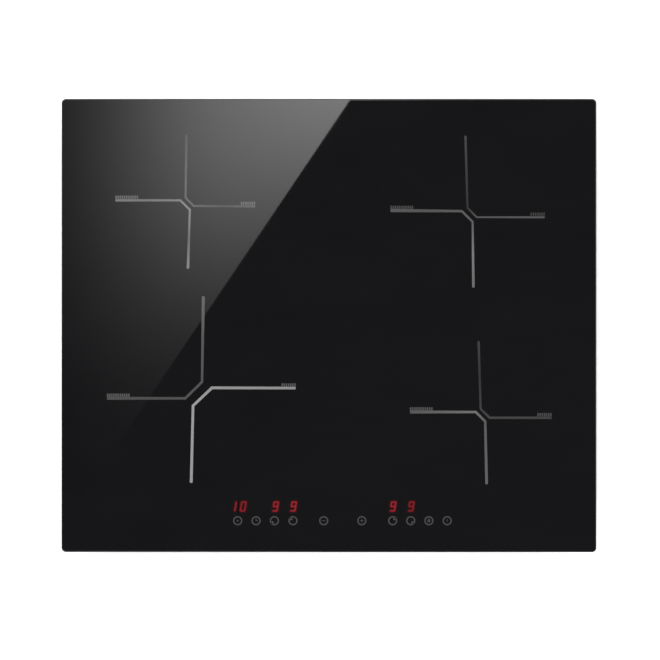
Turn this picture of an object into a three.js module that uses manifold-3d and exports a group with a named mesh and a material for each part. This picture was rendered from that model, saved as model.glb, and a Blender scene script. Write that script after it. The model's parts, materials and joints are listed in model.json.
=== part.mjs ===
// Built-in four-zone induction cooktop: a sheet of black glass-ceramic bonded to a stepped steel
// pan that drops into a worktop cut-out. The pan holds the coils, power electronics, blowers, touch
// control and terminal box. Four swivel clamps under the pan's step pull the glass down.
//
// Millimetres. +X is the user's right, the controls are at -Y, +Z is up. The origin is under the
// middle of the glass, on the surface that the pan's bottom stands on.

import * as THREE from 'three';
import { mergeVertices } from 'three/addons/utils/BufferGeometryUtils.js';
import Module from 'manifold-3d';

const wasm = await Module();
wasm.setup();

// Driving dimensions

const HEIGHT = 56;
const GAP = 0.3;

const GLASS = { width: 590, depth: 500, thick: 4, corner: 5, bevel: 0.8 };
const GLASS_UNDERSIDE = HEIGHT - GLASS.thick;

const SHEET = 1;
const UPPER_TUB = { width: 554, depth: 470, corner: 10 };
const LOWER_TUB = { width: 506, depth: 430, corner: 14 };
const STEP_UNDERSIDE = 25;
const STEP_TOP = STEP_UNDERSIDE + SHEET;
const FLANGE = { reach: 6, top: 50.7, corner: 14 };
const FLOOR_TOP = SHEET;
const FRONT_VENTS = { count: 22, pitch: 16, width: 4, bottom: 31, top: 44 };
const REAR_VENTS = { count: 12, pitch: 16, width: 4, bottom: 31, top: 44 };

const BOND = { inset: 1, band: 5, thick: 0.7, corner: 13 };
const GASKET = { inset: 1.5, band: 6, underside: 49.2, corner: 4 };

// Cooking zones: the centre of each coil and the diameter of the cookware that it serves
const ZONES = [
  { name: 'rear_left', x: -156, y: 134, diameter: 160 },
  { name: 'rear_right', x: 156, y: 122, diameter: 180 },
  { name: 'front_left', x: -145, y: -75, diameter: 210 },
  { name: 'front_right', x: 170, y: -99, diameter: 160 },
];

// Each coil is a stack, from below: shelf, ferrites, former, winding, mica sheet
const COIL = { margin: 5, segments: 36 };
const SHELF = { bottom: 38.5, thick: 1.5, inner: 1, front: -184, rear: 230, hole: 12 };
const FERRITE = { bottom: 40.3, thick: 4, barWidth: 12, bars: 8, hub: 26, bore: 19 };
const FORMER = { bottom: 44.6, thick: 2, bore: 6, rimInner: 14.2, rimOuter: 16.5, rimTop: 50 };
const WINDING = { bottom: 46.9, top: 49.9, inner: 17, margin: 2 };
const MICA = { bottom: 50.2, thick: 0.6, margin: 3, hole: 12 };
const SENSOR = { flange: 13, flangeTop: 48.5, radius: 9, top: 51.7 };

const RAIL = { width: 20, length: 410, top: 38.2, wall: 1.2 };

// Electronics of one side of the pan, as distances from the middle on the right
const TRAY = { inner: 58, outer: 244, front: -196, rear: 86, rim: 7.7, wall: 2 };
const BOARD = { thick: 1.6 };
const BOARD_BOTTOM = TRAY.rim + GAP;
const LEAD_NOTCH = { depth: 16, front: 20, rear: 44 };
const SINK = { x: 207, width: 62, front: -72, rear: 78, base: 3, height: 23, fins: 9, fin: 1.6 };
const FILTER_BOARD = { left: 24, right: 108, front: 98, rear: 202, bottom: 6 };

const BLOWER = { x: 190, y: 150, radius: 47, height: 30, wall: 1.8, inlet: 30, mouth: 60, reach: 56 };
const BLOWER_BOSS = { radius: 10, bore: 3, length: 3.5 };
const IMPELLER = { radius: 39, ring: 7, bottom: 5, top: 25, plate: 1.6, hub: 13, blades: 18 };
const SHAFT = { radius: 2.4, top: 28.5 };
const INTAKE = { slots: 7, pitch: 9, width: 4.5, radius: 29 };

const CONTROL = { left: -124, right: 144, front: -227, rear: -187, top: 41.7, floor: 3, leg: 8 };
const TOUCH_BOARD = { margin: 3, bottom: 42 };
const DISPLAY = { y: -200.3, digitWidth: 12.6, depth: 19, height: 7.6 };
const DISPLAYS = [
  { name: 'timer', x: -100, digits: 2 },
  { name: 'front_left', x: -58.6, digits: 1 },
  { name: 'rear_left', x: -38.7, digits: 1 },
  { name: 'rear_right', x: 71.0, digits: 1 },
  { name: 'front_right', x: 90.9, digits: 1 },
];

const TERMINAL_BOX = { left: 60, right: 150, rear: 232, bottom: 1.5, top: 24.7, wall: 2 };
const CABLE_OUTLET = { y: 224.6, z: 11.5, radius: 6 };
const WIRE_WINDOW = { left: 96, right: 136, bottom: 7, top: 17 };
const TERMINAL_BLOCK = { left: 86, right: 146, depth: 10.5, height: 14, poles: 5, screw: 2.8 };
const COVER = { thick: 1.8, bottom: 2.5, barrel: 1.2, hingeZ: 23.2 };

const CLAMP = { x: 265, y: 150, reach: 28, width: 14, thick: 2.5, bottom: 5.5, lip: 1.2, hole: 4.3 };
const CLAMP_SCREW = { radius: 2.5, head: 4.5, headBottom: 0.5, headTop: 3, socket: 2 };
const CLAMP_NUT = { bore: 2.8, neck: 4, flange: 5.6, bottom: 3.3, flangeTop: 5.2, top: 9.8 };

// Materials

const finish = (color, roughness, metalness) =>
  new THREE.MeshStandardMaterial({ color, roughness, metalness });

const MATERIALS = {
  glass: finish(0x0a0a0b, 0.04, 0),
  foam: finish(0x2b2b2d, 0.95, 0),
  silicone: finish(0x1b1b1c, 0.7, 0),
  zincSteel: finish(0x9da0a3, 0.42, 0.9),
  aluminium: finish(0xb9bbbe, 0.38, 0.95),
  ferrite: finish(0x2e2f31, 0.7, 0.1),
  formerPlastic: finish(0xdedbd2, 0.55, 0),
  copper: finish(0xb4693f, 0.4, 0.85),
  mica: finish(0xc9bfa6, 0.5, 0),
  sensorRubber: finish(0xe6e4de, 0.6, 0),
  circuitBoard: finish(0x1d5a34, 0.45, 0),
  blackPlastic: finish(0x19191b, 0.5, 0),
  greyPlastic: finish(0x6d6f73, 0.55, 0),
  display: finish(0x2a0d0d, 0.35, 0),
  screwSteel: finish(0xc4c6c8, 0.3, 0.95),
};

// Shapes

function roundedRectangle(width, depth, corner) {
  const [x, y] = [width / 2 - corner, depth / 2 - corner];
  const shape = new THREE.Shape();
  shape.absarc(x, -y, corner, -Math.PI / 2, 0);
  shape.absarc(x, y, corner, 0, Math.PI / 2);
  shape.absarc(-x, y, corner, Math.PI / 2, Math.PI);
  shape.absarc(-x, -y, corner, Math.PI, 1.5 * Math.PI);
  return shape;
}

function slab(shape, bottom, top, curveSegments = 2) {
  const options = { depth: top - bottom, bevelEnabled: false, curveSegments };
  return new THREE.ExtrudeGeometry(shape, options).translate(0, 0, bottom);
}

// A section of [x, z] points drawn out along Y
function bar(section, front, rear) {
  const shape = new THREE.Shape(section.map(([x, z]) => new THREE.Vector2(x, z)));
  return slab(shape, -rear, -front).rotateX(Math.PI / 2);
}

function block(left, right, front, rear, bottom, top) {
  const geometry = new THREE.BoxGeometry(right - left, rear - front, top - bottom);
  return geometry.translate((left + right) / 2, (front + rear) / 2, (bottom + top) / 2);
}

function disc(radius, bottom, top, segments = 24) {
  const geometry = new THREE.CylinderGeometry(radius, radius, top - bottom, segments);
  return geometry.rotateX(Math.PI / 2).translate(0, 0, (bottom + top) / 2);
}

// A section of [radius, z] points turned round Z. It starts at its lowest outside point and goes up.
function turned(section, segments) {
  const points = section.map(([radius, z]) => new THREE.Vector2(radius, z));
  return new THREE.LatheGeometry(points, segments).rotateX(Math.PI / 2);
}

function ring(inner, outer, bottom, top, segments = COIL.segments) {
  const section = [[outer, bottom], [outer, top], [inner, top], [inner, bottom], [outer, bottom]];
  return turned(section, segments);
}

// Solids

function solid(geometry) {
  const bare = new THREE.BufferGeometry();
  bare.setAttribute('position', geometry.getAttribute('position'));
  bare.setIndex(geometry.index);
  const merged = mergeVertices(bare, 1e-4);
  const vertProperties = new Float32Array(merged.getAttribute('position').array);
  const triVerts = new Uint32Array(merged.index.array);
  return new wasm.Manifold(new wasm.Mesh({ numProp: 3, vertProperties, triVerts }));
}

function join(geometries) {
  return geometries.map(solid).reduce((whole, next) => whole.add(next));
}

function cut(body, geometries) {
  return geometries.map(solid).reduce((rest, tool) => rest.subtract(tool), body);
}

function toGeometry(body) {
  const mesh = body.getMesh();
  const geometry = new THREE.BufferGeometry();
  geometry.setAttribute('position', new THREE.BufferAttribute(mesh.vertProperties, 3));
  geometry.setIndex(new THREE.BufferAttribute(mesh.triVerts, 1));
  geometry.computeVertexNormals();
  return geometry;
}

const cooktop = new THREE.Group();

function place(name, shape, material, x = 0, y = 0, turn = 0) {
  const geometry = shape.isBufferGeometry ? shape : toGeometry(shape);
  const mesh = new THREE.Mesh(geometry, material);
  mesh.name = name;
  mesh.position.set(x, y, 0);
  mesh.rotation.z = turn;
  cooktop.add(mesh);
}

const repeat = (count, make) => Array.from({ length: count }, (_, i) => make(i));

// A distance from the middle on the right, or its mirror image on the left, as a [low, high] pair
const span = (side, near, far) => (side > 0 ? [near, far] : [-far, -near]);

// Glass, gasket and bond

function glassTop() {
  const { width, depth, thick, corner, bevel } = GLASS;
  const shape = roundedRectangle(width - 2 * bevel, depth - 2 * bevel, corner - bevel);
  const geometry = new THREE.ExtrudeGeometry(shape, {
    depth: thick - 2 * bevel,
    bevelThickness: bevel,
    bevelSize: bevel,
    bevelSegments: 2,
    curveSegments: 3,
  });
  return geometry.translate(0, 0, GLASS_UNDERSIDE + bevel);
}

function frame(width, depth, corner, band, bottom, top) {
  const hole = roundedRectangle(width - 2 * band, depth - 2 * band, Math.max(corner - band, 1));
  const outer = solid(slab(roundedRectangle(width, depth, corner), bottom, top));
  return cut(outer, [slab(hole, bottom - 1, top + 1)]);
}

function worktopGasket() {
  const { inset, band, underside, corner } = GASKET;
  const [width, depth] = [GLASS.width - 2 * inset, GLASS.depth - 2 * inset];
  return frame(width, depth, corner, band, underside, GLASS_UNDERSIDE - GAP);
}

function glassBond() {
  const grow = 2 * (FLANGE.reach - BOND.inset);
  const [width, depth] = [UPPER_TUB.width + grow, UPPER_TUB.depth + grow];
  const bottom = FLANGE.top + GAP;
  return frame(width, depth, BOND.corner, BOND.band, bottom, bottom + BOND.thick);
}

// Pan and rail

function tub({ width, depth, corner }, shrink, bottom, top) {
  const shape = roundedRectangle(width - 2 * shrink, depth - 2 * shrink, corner - shrink);
  return slab(shape, bottom, top);
}

// Upright slots along the front or rear wall
function wallVents({ count, pitch, width, bottom, top }, wallY) {
  return repeat(count, (i) => {
    const x = (i - (count - 1) / 2) * pitch;
    return block(x - width / 2, x + width / 2, wallY - 4, wallY + 4, bottom, top);
  });
}

// Slots through the pan's bottom that together fill the round inlet of a blower
function intakeSlots(x) {
  return repeat(INTAKE.slots, (i) => {
    const offset = (i - (INTAKE.slots - 1) / 2) * INTAKE.pitch;
    const half = Math.sqrt(INTAKE.radius ** 2 - offset ** 2);
    const y = BLOWER.y + offset;
    return block(x - half, x + half, y - INTAKE.width / 2, y + INTAKE.width / 2, -1, FLOOR_TOP + 1);
  });
}

function basePan() {
  const flange = {
    width: UPPER_TUB.width + 2 * FLANGE.reach,
    depth: UPPER_TUB.depth + 2 * FLANGE.reach,
    corner: FLANGE.corner,
  };
  const outside = join([
    tub(LOWER_TUB, 0, 0, STEP_UNDERSIDE + SHEET / 2),
    tub(UPPER_TUB, 0, STEP_UNDERSIDE, FLANGE.top - SHEET / 2),
    tub(flange, 0, FLANGE.top - SHEET, FLANGE.top),
  ]);
  const { left, right, bottom, top } = WIRE_WINDOW;
  const rearWall = LOWER_TUB.depth / 2;
  return cut(outside, [
    tub(LOWER_TUB, SHEET, FLOOR_TOP, STEP_TOP + 1),
    tub(UPPER_TUB, SHEET, STEP_TOP, FLANGE.top + 1),
    block(left, right, rearWall - 3, rearWall + 3, bottom, top),
    ...wallVents(FRONT_VENTS, -UPPER_TUB.depth / 2),
    ...wallVents(REAR_VENTS, UPPER_TUB.depth / 2),
    ...intakeSlots(-BLOWER.x),
    ...intakeSlots(BLOWER.x),
  ]);
}

// An upturned channel from front to rear, which carries the inner edges of both coil shelves
function centreRail() {
  const { width, length, top, wall } = RAIL;
  const [out, foot] = [width / 2, FLOOR_TOP + GAP];
  const inside = out - wall;
  const section = [
    [-out, foot], [-inside, foot], [-inside, top - wall], [inside, top - wall],
    [inside, foot], [out, foot], [out, top], [-out, top],
  ];
  return bar(section, -length / 2, length / 2);
}

// Coils

// An aluminium shelf under the two coils of one side, with its outer leg folded down to the step
function coilShelf(side) {
  const outer = UPPER_TUB.width / 2 - SHEET - 2;
  const { bottom, thick, inner, front, rear, hole } = SHELF;
  const body = join([
    block(...span(side, inner, outer), front, rear, bottom, bottom + thick),
    block(...span(side, outer - thick, outer), front, rear, STEP_TOP + GAP, bottom + thick / 2),
  ]);
  const holes = ZONES.filter((zone) => Math.sign(zone.x) === side).map((zone) =>
    disc(hole, bottom - 1, bottom + thick + 1, 16).translate(zone.x, zone.y, 0),
  );
  return cut(body, holes);
}

const coilRadius = (zone) => zone.diameter / 2 - COIL.margin;

// Ferrite bars that radiate from a ring and close the coil's field on its underside
function ferriteStar(radius) {
  const { bottom, thick, barWidth, bars, hub, bore } = FERRITE;
  const spokes = repeat(bars, (i) => {
    const spoke = block(bore + 3, radius, -barWidth / 2, barWidth / 2, bottom, bottom + thick);
    return spoke.rotateZ((2 * Math.PI * i) / bars);
  });
  return join([ring(bore, hub, bottom, bottom + thick, 24), ...spokes]);
}

function coilFormer(radius) {
  const { bottom, thick, bore, rimInner, rimOuter, rimTop } = FORMER;
  const top = bottom + thick;
  const section = [
    [radius, bottom], [radius, top], [rimOuter, top], [rimOuter, rimTop], [rimInner, rimTop],
    [rimInner, top], [bore, top], [bore, bottom], [radius, bottom],
  ];
  return turned(section, COIL.segments);
}

function micaSheet(size) {
  const top = MICA.bottom + MICA.thick;
  const sheet = solid(slab(roundedRectangle(size, size, 8), MICA.bottom, top));
  return cut(sheet, [disc(MICA.hole, MICA.bottom - 1, top + 1, 16)]);
}

// A thermistor in a rubber cup that touches the glass in the middle of the coil
function heatSensor() {
  const { flange, flangeTop, radius, top } = SENSOR;
  const seat = FORMER.bottom + FORMER.thick + GAP;
  const section = [
    [0, seat], [flange, seat], [flange, flangeTop], [radius, flangeTop], [radius, top - 1],
    [radius - 1, top], [0, top],
  ];
  return turned(section, 20);
}

function placeCoil({ name, x, y, diameter }) {
  const radius = coilRadius({ diameter });
  const winding = ring(WINDING.inner, radius - WINDING.margin, WINDING.bottom, WINDING.top);
  place(`ferrite_star_${name}`, ferriteStar(radius - 4), MATERIALS.ferrite, x, y);
  place(`coil_former_${name}`, coilFormer(radius), MATERIALS.formerPlastic, x, y);
  place(`coil_winding_${name}`, winding, MATERIALS.copper, x, y);
  place(`mica_sheet_${name}`, micaSheet(diameter - 2 * MICA.margin), MATERIALS.mica, x, y);
  place(`heat_sensor_${name}`, heatSensor(), MATERIALS.sensorRubber, x, y);
}

// Power electronics

function boardTray(side) {
  const { inner, outer, front, rear, rim, wall } = TRAY;
  const foot = FLOOR_TOP + GAP;
  const body = solid(block(...span(side, inner, outer), front, rear, foot, rim));
  const [left, right] = span(side, inner + wall, outer - wall);
  return cut(body, [block(left, right, front + wall, rear - wall, foot + wall, rim + 1)]);
}

// A board whose edge lies on the tray's rim, with a notch for the coil leads on its inner side
function powerBoard(side) {
  const { inner, outer, front, rear, wall } = TRAY;
  const edge = wall / 2;
  const top = BOARD_BOTTOM + BOARD.thick;
  const [left, right] = span(side, inner + edge, outer - edge);
  const notch = block(...span(side, inner, inner + LEAD_NOTCH.depth), LEAD_NOTCH.front,
    LEAD_NOTCH.rear, BOARD_BOTTOM - 1, top + 1);
  return cut(solid(block(left, right, front + edge, rear - edge, BOARD_BOTTOM, top)), [notch]);
}

// A comb of fins standing on a base plate, drawn out along the air stream
function heatSink(side) {
  const { x, width, front, rear, base, height, fins, fin } = SINK;
  const foot = BOARD_BOTTOM + BOARD.thick + GAP;
  const left = side * x - width / 2;
  const pitch = (width - fin) / (fins - 1);
  const section = [[left, foot], [left + width, foot]];
  for (let i = 0; i < fins; i += 1) {
    const start = left + width - i * pitch;
    section.push([start, foot + height], [start - fin, foot + height]);
    if (i < fins - 1) section.push([start - fin, foot + base], [start - pitch, foot + base]);
  }
  return bar(section, front, rear);
}

// Blowers

function blowerOutline(side, shrink, bottom, top, mouthReach) {
  const { radius, mouth, reach } = BLOWER;
  const round = disc(radius - shrink, bottom, top, 32);
  const [inner, outer] = [side * (radius - mouth + shrink), side * (radius - shrink)];
  const front = -(reach + mouthReach);
  const chute = block(Math.min(inner, outer), Math.max(inner, outer), front, 0, bottom, top);
  return [round, chute];
}

// A scroll housing that takes air in from below and blows it forwards over the heat sink
function blowerHousing(side) {
  const { height, wall, inlet } = BLOWER;
  const bottom = FLOOR_TOP + GAP;
  const top = bottom + height;
  const shell = cut(join(blowerOutline(side, 0, bottom, top, 0)), [
    ...blowerOutline(side, wall, bottom + wall, top - wall, 1),
    disc(inlet, bottom - 1, bottom + wall + 1, 28),
  ]);
  const boss = disc(BLOWER_BOSS.radius, top - wall - BLOWER_BOSS.length, top - wall / 2, 16);
  const bore = disc(BLOWER_BOSS.bore, top - wall - BLOWER_BOSS.length - 1, top - wall, 12);
  return cut(shell.add(solid(boss)), [bore]);
}

// Curved-forward blades between a back plate and a front ring, on a hub with a stub shaft
function impeller(side) {
  const { radius, ring: band, bottom, top, plate, hub, blades } = IMPELLER;
  const vanes = repeat(blades, (i) => {
    const vane = block(-band / 2, band / 2, -0.6, 0.6, bottom + plate / 2, top - plate / 2);
    const lean = (side * Math.PI) / 5;
    return vane.rotateZ(lean).translate(radius - band / 2 - 0.4, 0, 0).rotateZ((2 * Math.PI * i) / blades);
  });
  return join([
    disc(radius, top - plate, top, 28),
    ring(radius - band, radius, bottom, bottom + plate, 28),
    disc(hub, bottom + 5, top - plate / 2, 20),
    disc(SHAFT.radius, top - plate / 2, SHAFT.top, 12),
    ...vanes,
  ]);
}

// Touch control

function touchCarrier() {
  const { left, right, front, rear, top, floor, leg } = CONTROL;
  const [under, wall] = [top - floor, 2];
  const legRear = -LOWER_TUB.depth / 2 - SHEET - 1;
  return join([
    block(left, right, front, rear, under, top),
    block(left, left + leg, front, legRear, STEP_TOP + GAP, under + wall),
    block(right - leg, right, front, legRear, STEP_TOP + GAP, under + wall),
  ]);
}

function touchBoard() {
  const { left, right, front, rear } = CONTROL;
  const { margin, bottom } = TOUCH_BOARD;
  const top = bottom + BOARD.thick;
  return block(left + margin, right - margin, front + margin, rear - margin, bottom, top);
}

function displayModule(digits) {
  const { digitWidth, depth, height } = DISPLAY;
  const half = (digits * digitWidth) / 2;
  const bottom = TOUCH_BOARD.bottom + BOARD.thick + GAP;
  return block(-half, half, -depth / 2, depth / 2, bottom, bottom + height);
}

// Mains terminals

function terminalBox() {
  const { left, right, rear, bottom, top, wall } = TERMINAL_BOX;
  const front = LOWER_TUB.depth / 2 + GAP;
  const { y, z, radius } = CABLE_OUTLET;
  const outlet = disc(radius, -wall, wall, 16).rotateY(Math.PI / 2).translate(left + wall / 2, y, z);
  const window = WIRE_WINDOW;
  return cut(solid(block(left, right, front, rear, bottom, top)), [
    block(left + wall, right - wall, front + wall, rear + 1, bottom + wall, top - wall),
    block(window.left, window.right, front - 1, front + wall + 1, window.bottom, window.top),
    outlet,
  ]);
}

function terminalBlock() {
  const { left, right, depth, height, poles, screw } = TERMINAL_BLOCK;
  const front = LOWER_TUB.depth / 2 + TERMINAL_BOX.wall + 2 * GAP;
  const bottom = TERMINAL_BOX.bottom + TERMINAL_BOX.wall + GAP;
  const pitch = (right - left) / poles;
  const wells = repeat(poles, (i) => {
    const well = disc(screw, -4, 4, 10).rotateX(Math.PI / 2);
    return well.translate(left + (i + 0.5) * pitch, front + depth, bottom + height / 2);
  });
  const body = solid(block(left, right, front, front + depth, bottom, bottom + height));
  return cut(body, wells);
}

// A flap that hangs on a barrel along its top edge
function terminalCover() {
  const { left, right, rear } = TERMINAL_BOX;
  const { thick, bottom, barrel, hingeZ } = COVER;
  const front = rear + GAP;
  const pin = disc(barrel, left, right, 12).rotateY(Math.PI / 2);
  return join([
    block(left, right, front, front + thick, bottom, hingeZ),
    pin.translate(0, front + barrel, hingeZ),
  ]);
}

// Worktop clamps

function clampScrew() {
  const { radius, head, headBottom, headTop, socket } = CLAMP_SCREW;
  const body = join([
    disc(head, headBottom, headTop, 18),
    disc(radius, headTop - 0.5, STEP_UNDERSIDE - GAP, 14),
  ]);
  return cut(body, [disc(socket, headBottom - 1, headBottom + 1.6, 6)]);
}

function clampNut() {
  const { bore, neck, flange, bottom, flangeTop, top } = CLAMP_NUT;
  const section = [
    [flange, bottom], [flange, flangeTop], [neck, flangeTop], [neck, top], [bore, top],
    [bore, bottom], [flange, bottom],
  ];
  return turned(section, 16);
}

// A strip that swivels round the nut's neck, with a turned-up lip that bites under the worktop
function clampArm() {
  const { reach, width, thick, bottom, lip, hole } = CLAMP;
  const top = bottom + thick;
  const body = join([
    disc(width / 2, bottom, top, 20),
    block(0, reach, -width / 2, width / 2, bottom, top),
    block(reach - thick, reach, -width / 2, width / 2, top - 0.5, top + lip),
  ]);
  return cut(body, [disc(hole, bottom - 1, top + 1, 16)]);
}

function placeClamp(sideName, side, endName, end) {
  const name = `${endName}_${sideName}`;
  const [x, y] = [side * CLAMP.x, end * CLAMP.y];
  place(`clamp_screw_${name}`, clampScrew(), MATERIALS.screwSteel, x, y);
  place(`clamp_nut_${name}`, clampNut(), MATERIALS.screwSteel, x, y);
  place(`clamp_arm_${name}`, clampArm(), MATERIALS.zincSteel, x, y, (-end * Math.PI) / 2);
}

// Assembly

place('glass_top', glassTop(), MATERIALS.glass);
place('worktop_gasket', worktopGasket(), MATERIALS.foam);
place('glass_bond', glassBond(), MATERIALS.silicone);
place('base_pan', basePan(), MATERIALS.zincSteel);
place('centre_rail', centreRail(), MATERIALS.zincSteel);

ZONES.forEach(placeCoil);

for (const [sideName, side] of [['left', -1], ['right', 1]]) {
  place(`coil_shelf_${sideName}`, coilShelf(side), MATERIALS.aluminium);
  place(`board_tray_${sideName}`, boardTray(side), MATERIALS.greyPlastic);
  place(`power_board_${sideName}`, powerBoard(side), MATERIALS.circuitBoard);
  place(`heat_sink_${sideName}`, heatSink(side), MATERIALS.aluminium);
  place(`blower_housing_${sideName}`, blowerHousing(side), MATERIALS.blackPlastic, side * BLOWER.x, BLOWER.y);
  place(`blower_impeller_${sideName}`, impeller(side), MATERIALS.blackPlastic, side * BLOWER.x, BLOWER.y);
  placeClamp(sideName, side, 'front', -1);
  placeClamp(sideName, side, 'rear', 1);
}

const filter = FILTER_BOARD;
const filterBoard = block(
  filter.left, filter.right, filter.front, filter.rear, filter.bottom, filter.bottom + BOARD.thick,
);
place('filter_board', filterBoard, MATERIALS.circuitBoard);

place('touch_carrier', touchCarrier(), MATERIALS.blackPlastic);
place('touch_board', touchBoard(), MATERIALS.circuitBoard);
for (const { name, x, digits } of DISPLAYS) {
  place(`display_${name}`, displayModule(digits), MATERIALS.display, x, DISPLAY.y);
}

place('terminal_box', terminalBox(), MATERIALS.blackPlastic);
place('terminal_block', terminalBlock(), MATERIALS.greyPlastic);
place('terminal_cover', terminalCover(), MATERIALS.blackPlastic);

export default cooktop;
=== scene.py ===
"""Looks of the built-in induction cooktop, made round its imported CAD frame.

+X to the user's right, controls at -Y, +Z up. Shapes are worked out in millimetres, and a mesh
becomes metres when its piece is made. The glass top, its printed marks and its red digits are seen
from straight above; the pan, clamps and terminal box from the sides and below.
"""
import json
import math
from types import SimpleNamespace as Sizes

import bmesh
import bpy
from mathutils import Matrix, Vector


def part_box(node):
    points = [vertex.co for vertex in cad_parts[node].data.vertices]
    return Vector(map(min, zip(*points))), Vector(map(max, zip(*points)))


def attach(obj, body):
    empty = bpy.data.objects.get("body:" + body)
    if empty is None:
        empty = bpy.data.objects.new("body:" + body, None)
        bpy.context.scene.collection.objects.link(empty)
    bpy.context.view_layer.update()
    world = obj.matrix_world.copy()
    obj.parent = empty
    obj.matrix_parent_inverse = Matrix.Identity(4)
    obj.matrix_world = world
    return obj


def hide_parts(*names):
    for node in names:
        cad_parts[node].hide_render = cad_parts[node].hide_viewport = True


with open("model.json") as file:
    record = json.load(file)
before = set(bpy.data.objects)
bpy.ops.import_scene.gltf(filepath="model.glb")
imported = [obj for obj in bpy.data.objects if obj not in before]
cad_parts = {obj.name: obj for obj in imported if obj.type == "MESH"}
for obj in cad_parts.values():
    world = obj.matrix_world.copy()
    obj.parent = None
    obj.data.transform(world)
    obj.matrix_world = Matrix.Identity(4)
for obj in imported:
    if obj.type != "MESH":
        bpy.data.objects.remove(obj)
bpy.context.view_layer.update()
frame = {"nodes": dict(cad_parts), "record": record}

MM = 0.001
ROOT = "chassis"
SIDES = {"left": -1, "right": 1}
ENDS = {"front": -1, "rear": 1}
ZONES = ("rear_left", "rear_right", "front_left", "front_right")


def box(node):
    """A CAD node's low and high corners, in millimetres."""
    return [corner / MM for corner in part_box(node)]


def middle(node):
    return sum(box(node), Vector()) / 2


# Node materials


class Tree:
    """A material's or a world's node tree, with short calls that add to it."""

    def __init__(self, owner):
        owner.use_nodes = True
        self.nodes, self.links = owner.node_tree.nodes, owner.node_tree.links

    def node(self, kind, inputs=None, **settings):
        """A node with its settings. Each input is a value, or the output that feeds it."""
        made = self.nodes.new(f"ShaderNode{kind}")
        for name, value in settings.items():
            setattr(made, name, value)
        for name, value in (inputs or {}).items():
            if isinstance(value, bpy.types.NodeSocket):
                self.links.new(value, made.inputs[name])
            else:
                made.inputs[name].default_value = value
        return made

    def math(self, operation, first, second):
        return self.node("Math", {0: first, 1: second}, operation=operation).outputs[0]


class Shader(Tree):
    """A material, with short calls for the patterns that the finishes share."""

    def __init__(self, name, **surface):
        self.material = bpy.data.materials.new(name)
        super().__init__(self.material)
        self.surface = self.nodes["Principled BSDF"]
        for socket, value in surface.items():
            self.surface.inputs[socket.replace("_", " ")].default_value = value

    def place(self, scale=(1, 1, 1)):
        """Object coordinates, stretched: an object's own metres, so a pattern keeps its real size."""
        source = self.node("TexCoord").outputs["Object"]
        return self.node("Mapping", {"Vector": source, "Scale": scale}).outputs["Vector"]

    def noise(self, scale, detail=4, roughness=0.5, stretch=(1, 1, 1)):
        inputs = {"Vector": self.place(stretch), "Scale": scale, "Detail": detail, "Roughness": roughness}
        return self.node("TexNoise", inputs).outputs["Fac"]

    def cells(self, scale, feature="F1", output="Distance"):
        inputs = {"Vector": self.place(), "Scale": scale}
        return self.node("TexVoronoi", inputs, feature=feature).outputs[output]

    def cell_tints(self, scale):
        """Two random values for each cell."""
        parts = self.node("SeparateColor", {"Color": self.cells(scale, output="Color")}).outputs
        return parts["Red"], parts["Green"]

    def attribute(self, name):
        return self.node("Attribute", attribute_name=name).outputs["Fac"]

    def spread(self, value, low, high, from_low=0.3, from_high=0.7):
        """A value mapped from one range to another, and held to it."""
        inputs = {"Value": value, "From Min": from_low, "From Max": from_high, "To Min": low, "To Max": high}
        return self.node("MapRange", inputs).outputs["Result"]

    def set(self, socket, value):
        self.links.new(value, self.surface.inputs[socket])

    def blend(self, share, first, second, socket="Base Color"):
        """Two colours mixed by a share."""
        inputs = {0: share, 6: (*first, 1), 7: (*second, 1)}
        self.set(socket, self.node("Mix", inputs, data_type="RGBA").outputs[2])

    def tint(self, pattern, first, second):
        """Two colours that drift into each other with a pattern."""
        self.blend(self.spread(pattern, 0, 1), first, second)

    def rough(self, value, *ranges):
        self.set("Roughness", self.spread(value, *ranges))

    def bump(self, height, distance, strength):
        inputs = {"Height": height, "Distance": distance, "Strength": strength}
        self.set("Normal", self.node("Bump", inputs).outputs["Normal"])


def black_glass():
    """Polished black glass-ceramic: a faint wipe haze in the gloss, and hardly any colour of its own."""
    shader = Shader("black_glass", IOR=1.52)
    haze = shader.noise(9, detail=6, roughness=0.62, stretch=(1, 2.4, 1))
    fine = shader.noise(900, detail=2)
    shader.tint(haze, (0.004, 0.004, 0.0045), (0.0047, 0.0047, 0.0053))
    shader.rough(haze, 0.006, 0.014)
    shader.bump(fine, 0.00001, 0.02)
    return shader.material


def fired_enamel():
    """Grey ceramic ink, printed through a screen: each stroke carries its own tone along its length."""
    shader = Shader("fired_enamel", IOR=1.5, Specular_IOR_Level=0.2)
    tone = shader.attribute("tone")
    grain = shader.spread(shader.noise(2600, detail=3), 0.92, 1.08)
    level = shader.math("MULTIPLY", tone, grain)
    shade = shader.node("CombineColor", {"Red": level, "Green": level, "Blue": level})
    shader.set("Base Color", shade.outputs["Color"])
    shader.rough(shader.noise(700), 0.5, 0.62)
    shader.bump(shader.noise(3200, detail=2), 0.00002, 0.3)
    return shader.material


def lit_segment():
    """Red light from a segment below the smoked glass, which fades into the black round it."""
    shader = Shader("lit_segment", Roughness=0.02, IOR=1.52)
    glow = shader.attribute("glow")
    patch = shader.spread(shader.noise(500, detail=2), 0.85, 1.1)
    shader.blend(glow, (0.0044, 0.0044, 0.0048), (0.03, 0.004, 0.004))
    shader.blend(glow, (1.0, 0.0, 0.008), (1.0, 0.13, 0.2), "Emission Color")
    shader.set("Emission Strength", shader.math("MULTIPLY", glow, patch))
    return shader.material


def foam_rubber():
    """Closed-cell foam: dull, and pitted with small cells."""
    shader = Shader("foam_rubber", IOR=1.4)
    pits = shader.cells(1500)
    cloud = shader.noise(60)
    shader.tint(cloud, (0.02, 0.02, 0.021), (0.032, 0.032, 0.034))
    shader.rough(pits, 0.86, 0.98, 0, 0.8)
    shader.bump(pits, 0.0002, 0.5)
    return shader.material


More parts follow.
